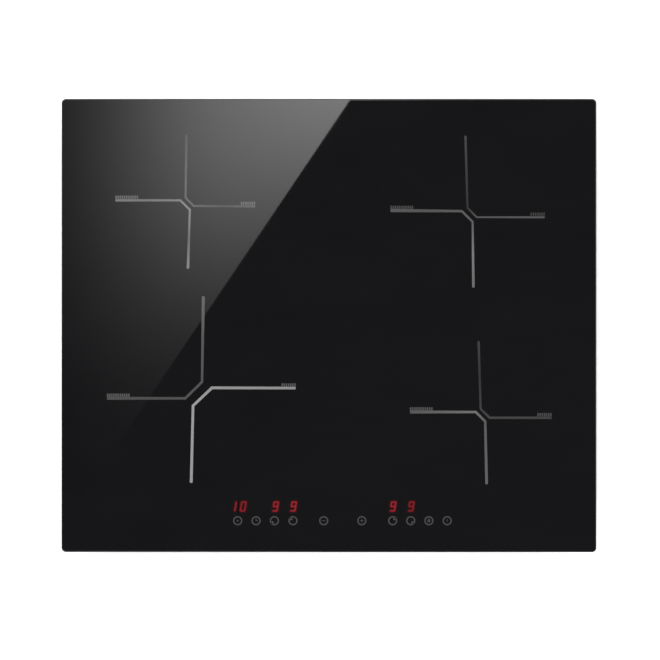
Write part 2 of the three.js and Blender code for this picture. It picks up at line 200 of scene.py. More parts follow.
def silicone_bead():
    """Black silicone with a skin that ripples where the nozzle passed."""
    shader = Shader("silicone_bead", IOR=1.43)
    ripple = shader.noise(180, detail=3)
    shader.tint(ripple, (0.012, 0.012, 0.013), (0.02, 0.02, 0.021))
    shader.rough(ripple, 0.3, 0.5)
    shader.bump(ripple, 0.0003, 0.4)
    return shader.material


def galvanised_sheet():
    """Hot-dip zinc: crystals of slightly different greys, under fine rolling marks."""
    shader = Shader("galvanised_sheet", Metallic=1.0)
    leaf = shader.spread(shader.cell_tints(150)[0], 0, 1, 0, 1)
    cloud = shader.noise(14, detail=6, roughness=0.6)
    rolled = shader.noise(900, detail=2, stretch=(1, 0.03, 1))
    tone = shader.math("MULTIPLY", shader.spread(cloud, 0.75, 1.25), shader.spread(leaf, 0.35, 0.65, 0, 1))
    shader.blend(tone, (0.23, 0.242, 0.255), (0.44, 0.455, 0.47))
    rough = shader.math("ADD", shader.spread(leaf, 0.32, 0.44, 0, 1), shader.spread(cloud, -0.03, 0.05))
    shader.set("Roughness", rough)
    shader.bump(rolled, 0.00003, 0.5)
    return shader.material


def rolled_aluminium():
    """Mill-finish aluminium, brushed along its rolling direction."""
    shader = Shader("rolled_aluminium", Metallic=1.0)
    lines = shader.noise(1400, detail=3, stretch=(1, 0.02, 1))
    cloud = shader.noise(22)
    shader.tint(cloud, (0.46, 0.47, 0.485), (0.58, 0.585, 0.6))
    shader.rough(lines, 0.27, 0.42)
    shader.bump(lines, 0.00003, 0.6)
    return shader.material


def sintered_ferrite():
    """Dark ceramic with pale flecks and a chalky surface."""
    shader = Shader("sintered_ferrite", IOR=1.8)
    flecks = shader.noise(2400, detail=2)
    shader.blend(shader.spread(flecks, 0, 1, 0.55, 0.75), (0.035, 0.035, 0.038), (0.09, 0.09, 0.095))
    shader.rough(shader.noise(90), 0.55, 0.78)
    shader.bump(flecks, 0.00008, 0.5)
    return shader.material


def moulded(name, dark, pale, grain=1100, rough=(0.42, 0.58)):
    """Injection-moulded plastic: a spark-eroded texture and slightly uneven gloss."""
    shader = Shader(name, IOR=1.5)
    texture = shader.noise(grain, detail=3)
    cloud = shader.noise(35, detail=3)
    shader.tint(cloud, dark, pale)
    shader.rough(texture, *rough)
    shader.bump(texture, 0.00006, 0.5)
    return shader.material


def enamelled_litz():
    """Copper wire in varnish, its strands laid in a twist along the turn, with painted shade darkening the
    grooves between them.
    """
    shader = Shader("enamelled_litz", Metallic=0.85, Coat_Weight=0.35, Coat_Roughness=0.25)
    along = shader.node("SeparateXYZ", {0: shader.node("UVMap").outputs["UV"]}).outputs
    lay = shader.math("ADD", shader.math("MULTIPLY", along["X"], 0.22),
                      shader.math("MULTIPLY", along["Y"], 9))
    strand = shader.math("PINGPONG", lay, 0.5)
    # Painted shade: the darker copper lies where the strand value is low, in the grooves between strands that
    # the bump presses in.
    shader.blend(shader.spread(strand, 0, 1, 0.05, 0.4), (0.28, 0.07, 0.022), (0.78, 0.33, 0.13))
    shader.rough(shader.noise(300), 0.25, 0.42)
    shader.bump(strand, 0.0002, 0.7)
    return shader.material


def pressed_mica():
    """Sheet mica: overlapping flakes with their own tints and glints."""
    shader = Shader("pressed_mica", IOR=1.58)
    leaf, glint = shader.cell_tints(420)
    shader.blend(leaf, (0.36, 0.3, 0.2), (0.62, 0.57, 0.45))
    shader.rough(leaf, 0.25, 0.6, 0, 1)
    shader.set("Metallic", shader.spread(glint, 0, 0.35, 0.6, 1))
    return shader.material


def solder_mask():
    """Green mask over copper tracks: the tracks run square to each other and show as a paler green."""
    shader = Shader("solder_mask", IOR=1.52, Coat_Weight=0.3, Coat_Roughness=0.2)
    pick = shader.cell_tints(190)[0]
    edge = shader.cells(190, feature="DISTANCE_TO_EDGE")
    track = shader.spread(edge, 1, 0, 0.05, 0.09)
    plane = shader.spread(pick, 0, 1, 0.55, 0.6)
    copper = shader.math("MAXIMUM", track, plane)
    shader.blend(copper, (0.008, 0.065, 0.025), (0.016, 0.13, 0.045))
    shader.rough(shader.noise(200), 0.28, 0.42)
    shader.bump(copper, 0.00004, 0.6)
    return shader.material


def smoked_filter():
    """Dark red window of a display module."""
    shader = Shader("smoked_filter", IOR=1.49)
    cloud = shader.noise(250)
    shader.tint(cloud, (0.035, 0.004, 0.004), (0.06, 0.008, 0.008))
    shader.rough(cloud, 0.14, 0.24)
    return shader.material


def plated_steel():
    """Zinc-plated screw steel with a faint blue and straw passivation."""
    shader = Shader("plated_steel", Metallic=1.0)
    shader.tint(shader.noise(260, detail=3), (0.56, 0.61, 0.67), (0.7, 0.68, 0.6))
    shader.rough(shader.noise(900), 0.2, 0.36)
    shader.bump(shader.noise(2200, detail=2), 0.00003, 0.4)
    return shader.material


MATERIALS = {
    "glass": black_glass(),
    "print": fired_enamel(),
    "segment_light": lit_segment(),
    "foam": foam_rubber(),
    "silicone": silicone_bead(),
    "zinc_steel": galvanised_sheet(),
    "aluminium": rolled_aluminium(),
    "ferrite": sintered_ferrite(),
    "former_plastic": moulded("former_plastic", (0.6, 0.57, 0.49), (0.7, 0.67, 0.59)),
    "copper": enamelled_litz(),
    "mica": pressed_mica(),
    "sensor_rubber": moulded("sensor_rubber", (0.7, 0.69, 0.65), (0.78, 0.77, 0.73), 500, (0.5, 0.66)),
    "circuit_board": solder_mask(),
    "black_plastic": moulded("black_plastic", (0.012, 0.012, 0.013), (0.02, 0.02, 0.022)),
    "grey_plastic": moulded("grey_plastic", (0.2, 0.205, 0.21), (0.27, 0.275, 0.28)),
    "display": smoked_filter(),
    "screw_steel": plated_steel(),
}


def paint_frame():
    """Gives each CAD node the detailed material of its slot in the record."""
    slots = {row["node"]: row["material_slot"] for row in frame["record"]["subparts"]}
    for name, node in frame["nodes"].items():
        node.data.materials.clear()
        node.data.materials.append(MATERIALS[slots[name]])


# Mesh tools


def finish_mesh(name, bm, smooth=0):
    """A mesh in metres from one in millimetres, smooth over edges up to an angle in degrees."""
    bmesh.ops.recalc_face_normals(bm, faces=bm.faces)
    bmesh.ops.scale(bm, vec=(MM, MM, MM), verts=bm.verts)
    mesh = bpy.data.meshes.new(name)
    bm.to_mesh(mesh)
    bm.free()
    if smooth:
        mesh.shade_smooth()
        mesh.set_sharp_from_angle(angle=math.radians(smooth))
    return mesh


def add_object(name, data):
    made = bpy.data.objects.new(name, data)
    bpy.context.scene.collection.objects.link(made)
    return made


def piece(name, bm, slot, smooth=0, body=ROOT, stands_for=None):
    """A new visible piece that rides on a body and takes its finish from one of the record's slots."""
    made = add_object(name, finish_mesh(name, bm, smooth))
    made.data.materials.append(MATERIALS[slot])
    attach(made, body)
    if stands_for:
        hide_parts(stands_for)
    return made


def stand_in(node, suffix, bm, slot, smooth=0, body=ROOT):
    """A piece that takes a CAD node's place, named after it."""
    return piece(f"{node}_{suffix}", bm, slot, smooth, body, node)


def at(x, y, z=0):
    return Matrix.Translation((x, y, z))


def along_x(x, y, z):
    """A frame at a place whose Z looks along X."""
    return at(x, y, z) @ Matrix.Rotation(math.pi / 2, 4, "Y")


def facing(place, way):
    """A frame at a place whose Z looks along a direction."""
    return at(*place) @ Vector(way).to_track_quat("Z", "Y").to_matrix().to_4x4()


def spokes(place, count):
    """Frames turned evenly round a place."""
    return [place @ Matrix.Rotation(2 * math.pi * i / count, 4, "Z") for i in range(count)]


def in_row(count, pitch):
    """Evenly spaced positions, centred on zero."""
    return [(i - (count - 1) / 2) * pitch for i in range(count)]


def round_points(centre, radius, start, stop, steps):
    """Points of an arc in a plane, between two angles in degrees."""
    angles = [math.radians(start + (stop - start) * i / steps) for i in range(steps + 1)]
    return [(centre[0] + radius * math.cos(a), centre[1] + radius * math.sin(a)) for a in angles]


def rounded_rectangle(width, depth, corner, steps=8):
    """Points round a rectangle with round corners, counterclockwise from the right-hand side."""
    points = []
    for quarter, (sx, sy) in enumerate(((1, 1), (-1, 1), (-1, -1), (1, -1))):
        centre = (sx * (width / 2 - corner), sy * (depth / 2 - corner))
        points += round_points(centre, corner, 90 * quarter, 90 * quarter + 90, steps)
    return points


def slot_outline(length, width, steps=8):
    """A slot with round ends, along X."""
    right = round_points(((length - width) / 2, 0), width / 2, -90, 90, steps)
    return right + [(-x, -y) for x, y in right]


def polar(radius, angle, z=0.0):
    return Vector((radius * math.cos(angle), radius * math.sin(angle), z))


def lifted(outline, z, place=Matrix()):
    """An outline as points at a height, in a frame."""
    return [place @ Vector((x, y, z)) for x, y in outline]


def moved(outline, x, y):
    return [(x + u, y + v) for u, v in outline]


def bar(left, right, low, high):
    return [(left, low), (right, low), (right, high), (left, high)]


def disc(x, y, radius, steps=24):
    return round_points((x, y), radius, 0, 360, steps)[:-1]


def eased(corners, edge, closed=False):
    """A profile with its corners cut off by an edge. A third value is a corner's own edge."""
    spots = [Vector(corner[:2]) for corner in corners]
    points = []
    for i, corner in enumerate(corners):
        cut = corner[2] if len(corner) > 2 else edge
        if cut == 0 or not closed and i in (0, len(corners) - 1):
            points.append(tuple(spots[i]))
            continue
        for other in (spots[i - 1], spots[(i + 1) % len(spots)]):
            points.append(tuple(spots[i] + (other - spots[i]).normalized() * cut))
    return points + points[:1] if closed else points


def skin(bm, rows, ring):
    """Faces between neighbouring rows of vertices. A row of one vertex closes to a point."""
    for low, high in zip(rows, rows[1:] + rows[:1] if ring else rows[1:]):
        count = max(len(low), len(high))
        for i in range(count):
            j = (i + 1) % count
            corners = [low[i % len(low)], low[j % len(low)], high[j % len(high)], high[i % len(high)]]
            bm.faces.new(list(dict.fromkeys(corners)))


def loft(bm, loops, ring=False):
    """Joins loops of as many points each into a skin. Its ends are capped, or joined to each other."""
    rows = [[bm.verts.new(point) for point in loop] for loop in loops]
    skin(bm, rows, ring)
    if not ring:
        bm.faces.new(reversed(rows[0]))
        bm.faces.new(rows[-1])
    return rows


def prism(bm, outline, start, stop, axis="Z"):
    """An outline drawn out along an axis. Its points hold the other two coordinates, in their order."""
    loops = []
    for level in (start, stop):
        loops.append([list(point) for point in outline])
        for point in loops[-1]:
            point.insert("XYZ".index(axis), level)
    loft(bm, loops)


LEAST_CORNER = 0.4


def rectangle_loops(size, corner, section, steps=8):
    """A section of (inset, height) points carried round a rectangle with round corners."""
    loops = []
    for inset, z in section:
        round_in = max(corner - inset, LEAST_CORNER)
        outline = rounded_rectangle(size[0] - 2 * inset, size[1] - 2 * inset, round_in, steps)
        loops.append(lifted(outline, z))
    return loops


def block(bm, low, high, bevel=0.0, segments=2, place=Matrix()):
    """A block between two corners, with its edges rounded."""
    corners = [(x, y, z) for x in (low[0], high[0]) for y in (low[1], high[1]) for z in (low[2], high[2])]
    verts = [bm.verts.new(place @ Vector(corner)) for corner in corners]
    sides = ((0, 1, 3, 2), (4, 6, 7, 5), (0, 4, 5, 1), (2, 3, 7, 6), (0, 2, 6, 4), (1, 5, 7, 3))
    faces = [bm.faces.new([verts[i] for i in side]) for side in sides]
    if bevel:
        edges = {edge for face in faces for edge in face.edges}
        bmesh.ops.bevel(bm, geom=list(edges), offset=bevel, segments=segments, profile=0.5,
                        affect="EDGES")


def turned(bm, profile, steps=32, place=Matrix(), shapes=None):
    """A profile of (radius, height) points turned about Z. A shape bends a ring out of round."""
    closed = profile[0] == profile[-1]
    rows = []
    for i, (radius, height) in enumerate(profile[:-1] if closed else profile):
        shape = (shapes or {}).get(i, lambda angle: 1.0)
        angles = [2 * math.pi * k / steps for k in range(steps if radius else 1)]
        rows.append([bm.verts.new(place @ polar(radius * shape(a), a, height)) for a in angles])
    skin(bm, rows, closed)


def washer(bm, inner, outer, bottom, top, steps, place):
    section = bar(inner, outer, bottom, top)
    turned(bm, [*section, section[0]], steps, place)


def rod(bm, radius, bottom, top, steps, place):
    turned(bm, [(0, bottom), (radius, bottom), (radius, top), (0, top)], steps, place)


def lathe(node, suffix, corners, edge, steps, slot, smooth, closed=False, body=ROOT):
    """A turned piece with eased corners, in a CAD node's place."""
    bm = bmesh.new()
    turned(bm, eased(corners, edge, closed), steps, at(*middle(node).xy))
    stand_in(node, suffix, bm, slot, smooth, body)


def hexagon(angle):
    """A hexagon as a share of its corner radius."""
    return math.cos(math.pi / 6) / math.cos(angle % (math.pi / 3) - math.pi / 6)


def cross(angle):
    """A cross recess as a share of its arm's length."""
    turn = (angle + math.pi / 4) % (math.pi / 2) - math.pi / 4
    half_arm = 0.27
    return min(1 / math.cos(turn), half_arm / max(abs(math.sin(turn)), 1e-6))


def helix(centre, first, last, rise, turns, steps):
    """A path round a centre, whose radius goes from a first value to a last one as it rises."""
    path = []
    for i in range(turns * steps + 1):
        angle, share = 2 * math.pi * i / steps, i / (turns * steps)
        path.append(Vector(centre) + polar(first + (last - first) * share, angle, rise * share))
    return path


def smooth_path(points, steps=8):
    """A Catmull-Rom curve through the points."""
    points = [Vector(point) for point in points]
    ends = [2 * points[0] - points[1], *points, 2 * points[-1] - points[-2]]
    path = []
    for a, b, c, d in zip(ends, ends[1:], ends[2:], ends[3:]):
        for i in range(steps):
            t = i / steps
            path.append(0.5 * (2 * b + (c - a) * t + (2 * a - 5 * b + 4 * c - d) * t ** 2
                               + (3 * b - a - 3 * c + d) * t ** 3))
    return [*path, points[-1]]


def tube(bm, path, radius, steps=8):
    """A round wire along a path, mapped along its length in millimetres and once round."""
    uv = bm.loops.layers.uv.verify()
    rows, lengths, length, side = [], [], 0.0, Vector((0, 0, 1))
    for i, point in enumerate(path):
        before = path[max(i - 1, 0)]
        way = (path[min(i + 1, len(path) - 1)] - before).normalized()
        side = (side - way * side.dot(way)).normalized()
        other = way.cross(side)
        turns = [2 * math.pi * k / steps for k in range(steps)]
        rows.append([bm.verts.new(point + radius * (side * math.cos(a) + other * math.sin(a)))
                     for a in turns])
        length += (point - before).length
        lengths.append(length)
    for i in range(len(rows) - 1):
        for k in range(steps):
            j = (k + 1) % steps
            face = bm.faces.new((rows[i][k], rows[i][j], rows[i + 1][j], rows[i + 1][k]))
            places = ((i, k), (i, k + 1), (i + 1, k + 1), (i + 1, k))
            for loop, (row, turn) in zip(face.loops, places):
                loop[uv].uv = (lengths[row], turn / steps)
    bm.faces.new(rows[0][::-1])
    bm.faces.new(rows[-1])


def cut_away(made, bm, smooth=35):
    """Cuts a mesh out of a piece, then shades it smooth with its flats kept flat."""
    cutter = add_object("cutter", finish_mesh("cutter", bm))
    cut = made.modifiers.new("cut", "BOOLEAN")
    cut.operation, cut.solver, cut.object, cut.use_self = "DIFFERENCE", "EXACT", cutter, True
    made.data.shade_smooth()
    made.data.set_sharp_from_angle(angle=math.radians(smooth))
    made.modifiers.new("even", "WEIGHTED_NORMAL").keep_sharp = True
    mesh = bpy.data.meshes.new_from_object(made.evaluated_get(bpy.context.evaluated_depsgraph_get()))
    made.modifiers.clear()
    mesh.name = made.data.name
    made.data = mesh
    bpy.data.objects.remove(cutter)


# Glass and prints

GLASS_LOW, GLASS_HIGH = box("glass_top")
PRINT_BOTTOM, PRINT_TOP = GLASS_HIGH.z - 0.02, GLASS_HIGH.z + 0.03
GLASS_CORNER, GLASS_ROUND = 5, 1.2


def glass_sheet():
    """The sheet with its edge ground to a soft round and polished."""
    low, high, edge = GLASS_LOW.z, GLASS_HIGH.z, GLASS_ROUND
    flat = edge + 0.4
    section = [(flat, low), *round_points((edge, low + edge), edge, 270, 180, 8),
               *round_points((edge, high - edge), edge, 180, 90, 8), (flat, high)]
    bm = bmesh.new()
    loft(bm, rectangle_loops((GLASS_HIGH - GLASS_LOW).xy, GLASS_CORNER, section))
    piece("glass_sheet", bm, "glass", 40, stands_for="glass_top")


# Each zone's cross is a heavy and a light stroke. A stroke runs from the outer end of one arm,
# round a 45 degree elbow, to the outer end of the other: four points in millimetres, with the
# stroke's width at each, its tone at the end, halfway along the arm and at the elbow, and the
# tone of the scale over its level arm.
STROKES = (
    ("rear_left", "heavy",
     ((-235.6, 138.0), (-163.9, 138.0), (-153.4, 127.6), (-155.5, 62.7)),
     (2.7, 2.3, 2.2, 2.9), (0.100, 0.101, 0.126, 0.146, 0.082, 0.128), 0.079),
    ("rear_left", "light",
     ((-157.2, 211.1), (-158.1, 140.7), (-149.2, 131.8), (-81.4, 131.3)),
     (3.0, 2.1, 2.1, 2.6), (0.059, 0.077, 0.084, 0.082, 0.057, 0.079), 0.097),
    ("rear_right", "heavy",
     ((67.7, 126.8), (146.4, 126.1), (158.3, 114.4), (159.2, 41.8)),
     (3.7, 2.6, 2.2, 2.8), (0.041, 0.039, 0.045, 0.050, 0.100, 0.074), 0.025),
    ("rear_right", "light",
     ((150.4, 209.2), (152.7, 129.7), (162.8, 119.4), (237.9, 119.3)),
     (2.5, 2.3, 1.8, 2.3), (0.023, 0.014, 0.007, 0.039, 0.040, 0.036), 0.016),
    ("front_left", "light",
     ((-138.5, 32.2), (-140.0, -62.2), (-158.5, -80.3), (-244.9, -80.2)),
     (3.4, 2.5, 2.7, 3.4), (0.070, 0.041, 0.038, 0.035, 0.029, 0.033), 0.045),
    ("front_left", "heavy",
     ((-36.7, -69.0), (-129.1, -68.7), (-149.9, -88.5), (-151.9, -173.5)),
     (2.9, 3.1, 2.8, 3.1), (0.142, 0.153, 0.153, 0.177, 0.170, 0.165), 0.04),
    ("front_right", "heavy",
     ((89.1, -95.3), (161.8, -95.4), (172.2, -105.8), (173.8, -175.0)),
     (3.5, 2.6, 2.7, 3.0), (0.041, 0.057, 0.081, 0.048, 0.054, 0.056), 0.035),
    ("front_right", "light",
     ((164.9, -17.3), (167.2, -92.0), (177.0, -101.7), (245.4, -101.7)),
     (2.6, 2.3, 2.6, 2.8), (0.018, 0.008, 0.016, 0.020, 0.019, 0.018), 0.027),
)

# How a stroke's end rounds off: distance from the end and width there, in half and whole widths
END_ROUND = ((0.0, 0.5), (0.15, 0.78), (0.4, 0.94), (0.75, 1.0))


def stroke_sections(points, widths, tones):
    """The stroke's left and right points and tone at each of its sections."""
    a, b, c, d = (Vector((*point, width)) for point, width in zip(points, widths))
    stations = [(station.xy, station.z) for station in (a, (a + b) / 2, b, c, (c + d) / 2, d)]
    ways = [(after[0] - before[0]).normalized() for before, after in zip(stations, stations[1:])]
    sections = []
    for i, (place, width) in enumerate(stations):
        before, after = ways[max(i - 1, 0)], ways[min(i, len(ways) - 1)]
        way = (before + after).normalized()
        across = Vector((-way.y, way.x)) * (width / 2 / max(way.dot(after), 0.5))
        if i in (0, len(stations) - 1):
            inwards = way * (width / 2 if i == 0 else -width / 2)
            cap = [(place + inwards * back + across * share, place + inwards * back - across * share,
                    tones[i]) for back, share in END_ROUND]
            sections += cap if i == 0 else cap[::-1]
        else:
            sections.append((place + across, place - across, tones[i]))
    return sections


def stroke_piece(zone, weight, points, widths, tones):
    bm = bmesh.new()
    tone = bm.verts.layers.float.new("tone")
    sections = stroke_sections(points, widths, tones)
    rows = loft(bm, [[(*left, PRINT_BOTTOM), (*right, PRINT_BOTTOM), (*right, PRINT_TOP), (*left, PRINT_TOP)]
                     for left, right, _ in sections])
    for row, (_, _, level) in zip(rows, sections):
        for vert in row:
            vert[tone] = level
    piece(f"mark_{zone}_{weight}", bm, "print")


def flat_print(name, outlines, tone, rings=()):
    """One print made of raised outlines and rings, all of one tone."""
    bm = bmesh.new()
    layer = bm.verts.layers.float.new("tone")
    for outline in outlines:
        prism(bm, outline, PRINT_BOTTOM, PRINT_TOP)
    for centre, inner, outer in rings:
        washer(bm, inner, outer, PRINT_BOTTOM, PRINT_TOP, 48, at(*centre))
    for vert in bm.verts:
        vert[layer] = tone
    piece(name, bm, "print")


TICK = Sizes(pitch=2.35, width=1.6, height=3.5, rise=1.7)
TICK_COUNTS = {"left": 11, "right": 7}


def tick_row(name, start, step, count, base, tone):
    """A row of small bars over the outer end of an arm, as a plain scale."""
    bars = []
    for i in range(count):
        ends = sorted(start + step * (i * TICK.pitch + reach) for reach in (0, TICK.width))
        bars.append(bar(*ends, base + TICK.rise, base + TICK.rise + TICK.height))
    flat_print(name, bars, tone)


def zone_marks():
    """Each zone's two strokes, and a scale over the outer end of each level arm."""
    for zone, weight, points, widths, tones, scale_tone in STROKES:
        stroke_piece(zone, weight, points, widths, tones)
        for end, beside in ((points[0], points[1]), (points[3], points[2])):
            along = beside[0] - end[0]
            if abs(along) > abs(beside[1] - end[1]):
                side = "left" if along > 0 else "right"
                step = math.copysign(1, along)
                tick_row(f"ticks_{zone}_{side}", end[0], step, TICK_COUNTS[side], end[1], scale_tone)


# Touch keys and digits

KEYS_Y, DIGITS_Y = -215.2, -199.5
KEY_RING = Sizes(inner=3.65, outer=5.05, tone=0.027)
# Each key's middle and the outlines of its symbol
KEYS = {
    "timer": (-100.7, [disc(0, 0, 1.0)]),
    "clock": (-80.4, [bar(-0.4, 0.4, -0.4, 2.6), bar(0.4, 2.0, -0.4, 0.4)]),
    "pick_front_left": (-60.2, [disc(-2.2, -2.1, 1.6)]),
    "pick_rear_left": (-39.7, [disc(-2.2, 2.1, 1.6)]),
    "minus": (-5.8, [bar(-1.7, 1.7, -0.4, 0.4)]),
    "plus": (36.2, [bar(-1.7, -0.4, -0.4, 0.4), bar(0.4, 1.7, -0.4, 0.4), bar(-0.4, 0.4, -1.7, 1.7)]),
    "pick_rear_right": (70.2, [disc(2.2, 2.1, 1.6)]),
    "pick_front_right": (90.1, [disc(2.2, -2.1, 1.6)]),
    "lock": (110.1, [bar(-1.5, 1.5, -1.6, 0.6), bar(-1.2, -0.6, 0.6, 1.6), bar(0.6, 1.2, 0.6, 1.6),
                     bar(-1.2, 1.2, 1.6, 2.2)]),
    "power": (130.3, [bar(-0.4, 0.4, -1.3, 2.0)]),
}


def keys():
    """Ten ring symbols: timer, clock, four zone pickers, minus, plus, lock and power."""
    for name, (x, shapes) in KEYS.items():
        ring = ((x, KEYS_Y), KEY_RING.inner, KEY_RING.outer)
        flat_print(f"key_{name}", [moved(shape, x, KEYS_Y) for shape in shapes], KEY_RING.tone, [ring])


SEGMENT = Sizes(height=9.7, width=4.7, slant=0.17, gap=0.35, half=0.5, blur=0.35)
HALO = Sizes(share=0.03, reach=1.6)
WINDOW = Sizes(width=11.4, height=16.4, cell=0.3)
LIT = {"0": "abcdef", "1": "bc", "9": "abcdfg"}
# Each digit's middle, its figure and how brightly it is driven
DIGITS = {"timer_tens": (-105.4, "1", 0.41), "timer_ones": (-94.6, "0", 0.37),
          "front_left": (-58.9, "9", 0.44), "rear_left": (-39.1, "9", 0.47),
          "rear_right": (70.6, "9", 0.47), "front_right": (90.6, "9", 0.34)}


def segment_lines(figure):
    """The middle lines of a figure's lit segments, about the digit's middle."""
    x, y, gap = SEGMENT.width / 2, SEGMENT.height / 2, SEGMENT.gap
    lines = {
        "a": ((gap - x, y), (x - gap, y)), "b": ((x, y - gap), (x, gap)), "c": ((x, -gap), (x, gap - y)),
        "d": ((gap - x, -y), (x - gap, -y)), "e": ((-x, -gap), (-x, gap - y)),
        "f": ((-x, gap), (-x, y - gap)), "g": ((gap - x, 0), (x - gap, 0)),
    }
    return [tuple(Vector((px + SEGMENT.slant * py, py)) for px, py in lines[letter])
            for letter in LIT[figure]]


def glow_at(spot, lines):
    """How much of the segments' light comes out of the glass at a spot."""
    gaps = []
    for start, stop in lines:
        along = stop - start
        share = min(max((spot - start).dot(along) / along.length_squared, 0), 1)
        gaps.append((spot - start - along * share).length)
    near = min(gaps)
    core = 1 / (1 + math.exp((near - SEGMENT.half) / SEGMENT.blur))
    return core + HALO.share * math.exp(-near / HALO.reach)


def digit(name, x, figure, drive):
    """A display window: a plate whose glow is strong over the lit segments and fades round them."""
    lines = segment_lines(figure)
    columns, rows = round(WINDOW.width / WINDOW.cell), round(WINDOW.height / WINDOW.cell)
    bm = bmesh.new()
    glow = bm.verts.layers.float.new("glow")
    grid = []
    for r in range(rows + 1):
        grid.append([])
        for c in range(columns + 1):
            spot = Vector(((c / columns - 0.5) * WINDOW.width, (r / rows - 0.5) * WINDOW.height))
            vert = bm.verts.new((x + spot.x, DIGITS_Y + spot.y, PRINT_TOP))
            inside = min(c, r, columns - c, rows - r) > 0
            vert[glow] = drive * glow_at(spot, lines) * inside
            grid[-1].append(vert)
    for low, high in zip(grid, grid[1:]):
        for c in range(columns):
            bm.faces.new((low[c], low[c + 1], high[c + 1], high[c]))
    rim = [*grid[0], *[row[-1] for row in grid[1:]], *grid[-1][-2::-1], *[row[0] for row in grid[-2:0:-1]]]
    foot = [bm.verts.new((vert.co.x, vert.co.y, PRINT_BOTTOM)) for vert in rim]
    for i in range(len(rim)):
        j = (i + 1) % len(rim)
        bm.faces.new((rim[j], rim[i], foot[i], foot[j]))
    bm.faces.new(foot[::-1])
    piece(f"digit_{name}", bm, "segment_light")


# Pan

PAN_HIGH = box("base_pan")[1]
SHEET = 1
BEND = 1.5
STEP = Sizes(x=24, y=20, top=26)
# Each level of the pan: its width, depth and corner
FLANGE = (PAN_HIGH.x * 2, PAN_HIGH.y * 2, 14)
UPPER_TUB = (FLANGE[0] - 12, FLANGE[1] - 12, 10)
LOWER_TUB = (UPPER_TUB[0] - 2 * STEP.x, UPPER_TUB[1] - 2 * STEP.y, 14)
VENTS = Sizes(pitch=16, width=4, bottom=31, top=44)
VENT_COUNTS = {"front": 22, "rear": 12}
CUT = 4
INTAKE = Sizes(slots=7, pitch=9, width=4.5, radius=29)
RIB = Sizes(depth=0.6, width=9, slope=1.5)
# Each rib of the floor: its middle, its length and its turn in degrees
FLOOR_RIBS = [((x, -60), 230, 90) for x in (-125, 0, 125)]
FLOOR_RIBS += [((x, -196), 88, 0) for x in (-188, -62, 62, 188)]
FLOOR_RIBS += [rib for side in SIDES.values() for rib in
               (((side * 232, -60), 230, 90), ((side * 66, 150), 70, side * 35))]
FLOOR_SCREWS = [(side * x, y) for side in SIDES.values() for x, y in
                ((66, -188), (236, -188), (66, 78), (236, 78), (148, 158), (232, 112), (190, 200))]
FLOOR_SCREWS += [(0, -190), (0, 190), (32, 106), (100, 194)]
TERMINAL_LOW, TERMINAL_HIGH = box("terminal_box")
TERMINAL_WALL = 2
TERMINAL_WINDOW = Sizes(shift=11, rise=10.5, width=40, height=10, corner=2)


def pan_loops():
    """The pressed skin as loops: up its outside from the bottom, then down its inside to the floor."""
    top, lip = PAN_HIGH.z, 0.2
    foot, knee = (2 * BEND, 2 * BEND), (-BEND, STEP.top - SHEET - BEND)
    step, rim = (BEND + SHEET, STEP.top + BEND), (-BEND, top - SHEET - BEND)
    thick = BEND + SHEET
    levels = (
        (LOWER_TUB, (foot, 2 * BEND, 270, 180), (knee, BEND, 0, 90)),
        (UPPER_TUB, (step, thick, 270, 180), (rim, BEND, 0, 90)),
        (FLANGE, (lip, top - SHEET), (0, top - SHEET + lip), (0, top - lip), (lip, top)),
        (UPPER_TUB, (rim, thick, 90, 0), (step, BEND, 180, 270)),
        (LOWER_TUB, (knee, thick, 90, 0), (foot, 2 * BEND - SHEET, 180, 270)),
    )
    loops = []
    for (width, depth, corner), *stations in levels:
        section = []
        for station in stations:
            section += round_points(*station, 5) if len(station) == 4 else [station]
        loops += rectangle_loops((width, depth), corner, section)
    return loops


def wall_slots(bm, count, wall):
    length, height = VENTS.top - VENTS.bottom, (VENTS.top + VENTS.bottom) / 2
    upright = [(v, u) for u, v in slot_outline(length, VENTS.width)]
    for x in in_row(count, VENTS.pitch):
        prism(bm, moved(upright, x, height), wall - CUT, wall + CUT, "Y")


def floor_slots(bm, x, y):
    """Slots that together fill the round inlet of a blower."""
    for offset in in_row(INTAKE.slots, INTAKE.pitch):
        length = 2 * math.sqrt(INTAKE.radius ** 2 - offset ** 2)
        prism(bm, moved(slot_outline(length, INTAKE.width), x, y + offset), -1, 2)


def terminal_window(bm, front, rear):
    """The opening between the pan and the terminal box, through a wall."""
    hole = TERMINAL_WINDOW
    x, z = middle("terminal_box").x + hole.shift, TERMINAL_LOW.z + hole.rise
    outline = rounded_rectangle(hole.width, hole.height, hole.corner, 4)
    prism(bm, moved(outline, x, z), front, rear, "Y")


def countersinks(bm):
    """The cones pressed into the floor for its flush screws."""
    for spot in FLOOR_SCREWS:
        turned(bm, [(0, 0.9), (2.1, 0.9), (3.9, 0), (3.9, -1), (0, -1)], 24, at(*spot))


def floor_rib(bm, centre, length, turn):
    """A shallow groove pressed up into the floor from below, with sloped sides."""
    place = at(*centre) @ Matrix.Rotation(math.radians(turn), 4, "Z")
    loops = []
    for way in (-1, 1):
        inset = way * RIB.slope
        outline = slot_outline(length - 2 * inset, RIB.width - 2 * inset)
        loops.append(lifted(outline, way * RIB.depth, place))
    loft(bm, loops)


def pan():
    """The stepped pan, deep-drawn from one sheet, with its slots and ribs."""
    bm = bmesh.new()
    loft(bm, pan_loops())
    made = piece("pan", bm, "zinc_steel", stands_for="base_pan")
    cutter = bmesh.new()
    for end, count in VENT_COUNTS.items():
        wall_slots(cutter, count, ENDS[end] * UPPER_TUB[1] / 2)
    for side in SIDES:
        floor_slots(cutter, *middle(f"blower_impeller_{side}").xy)
    terminal_window(cutter, LOWER_TUB[1] / 2 - CUT, LOWER_TUB[1] / 2 + CUT)
    for rib in FLOOR_RIBS:
        floor_rib(cutter, *rib)
    countersinks(cutter)
    cut_away(made, cutter)


# Fasteners

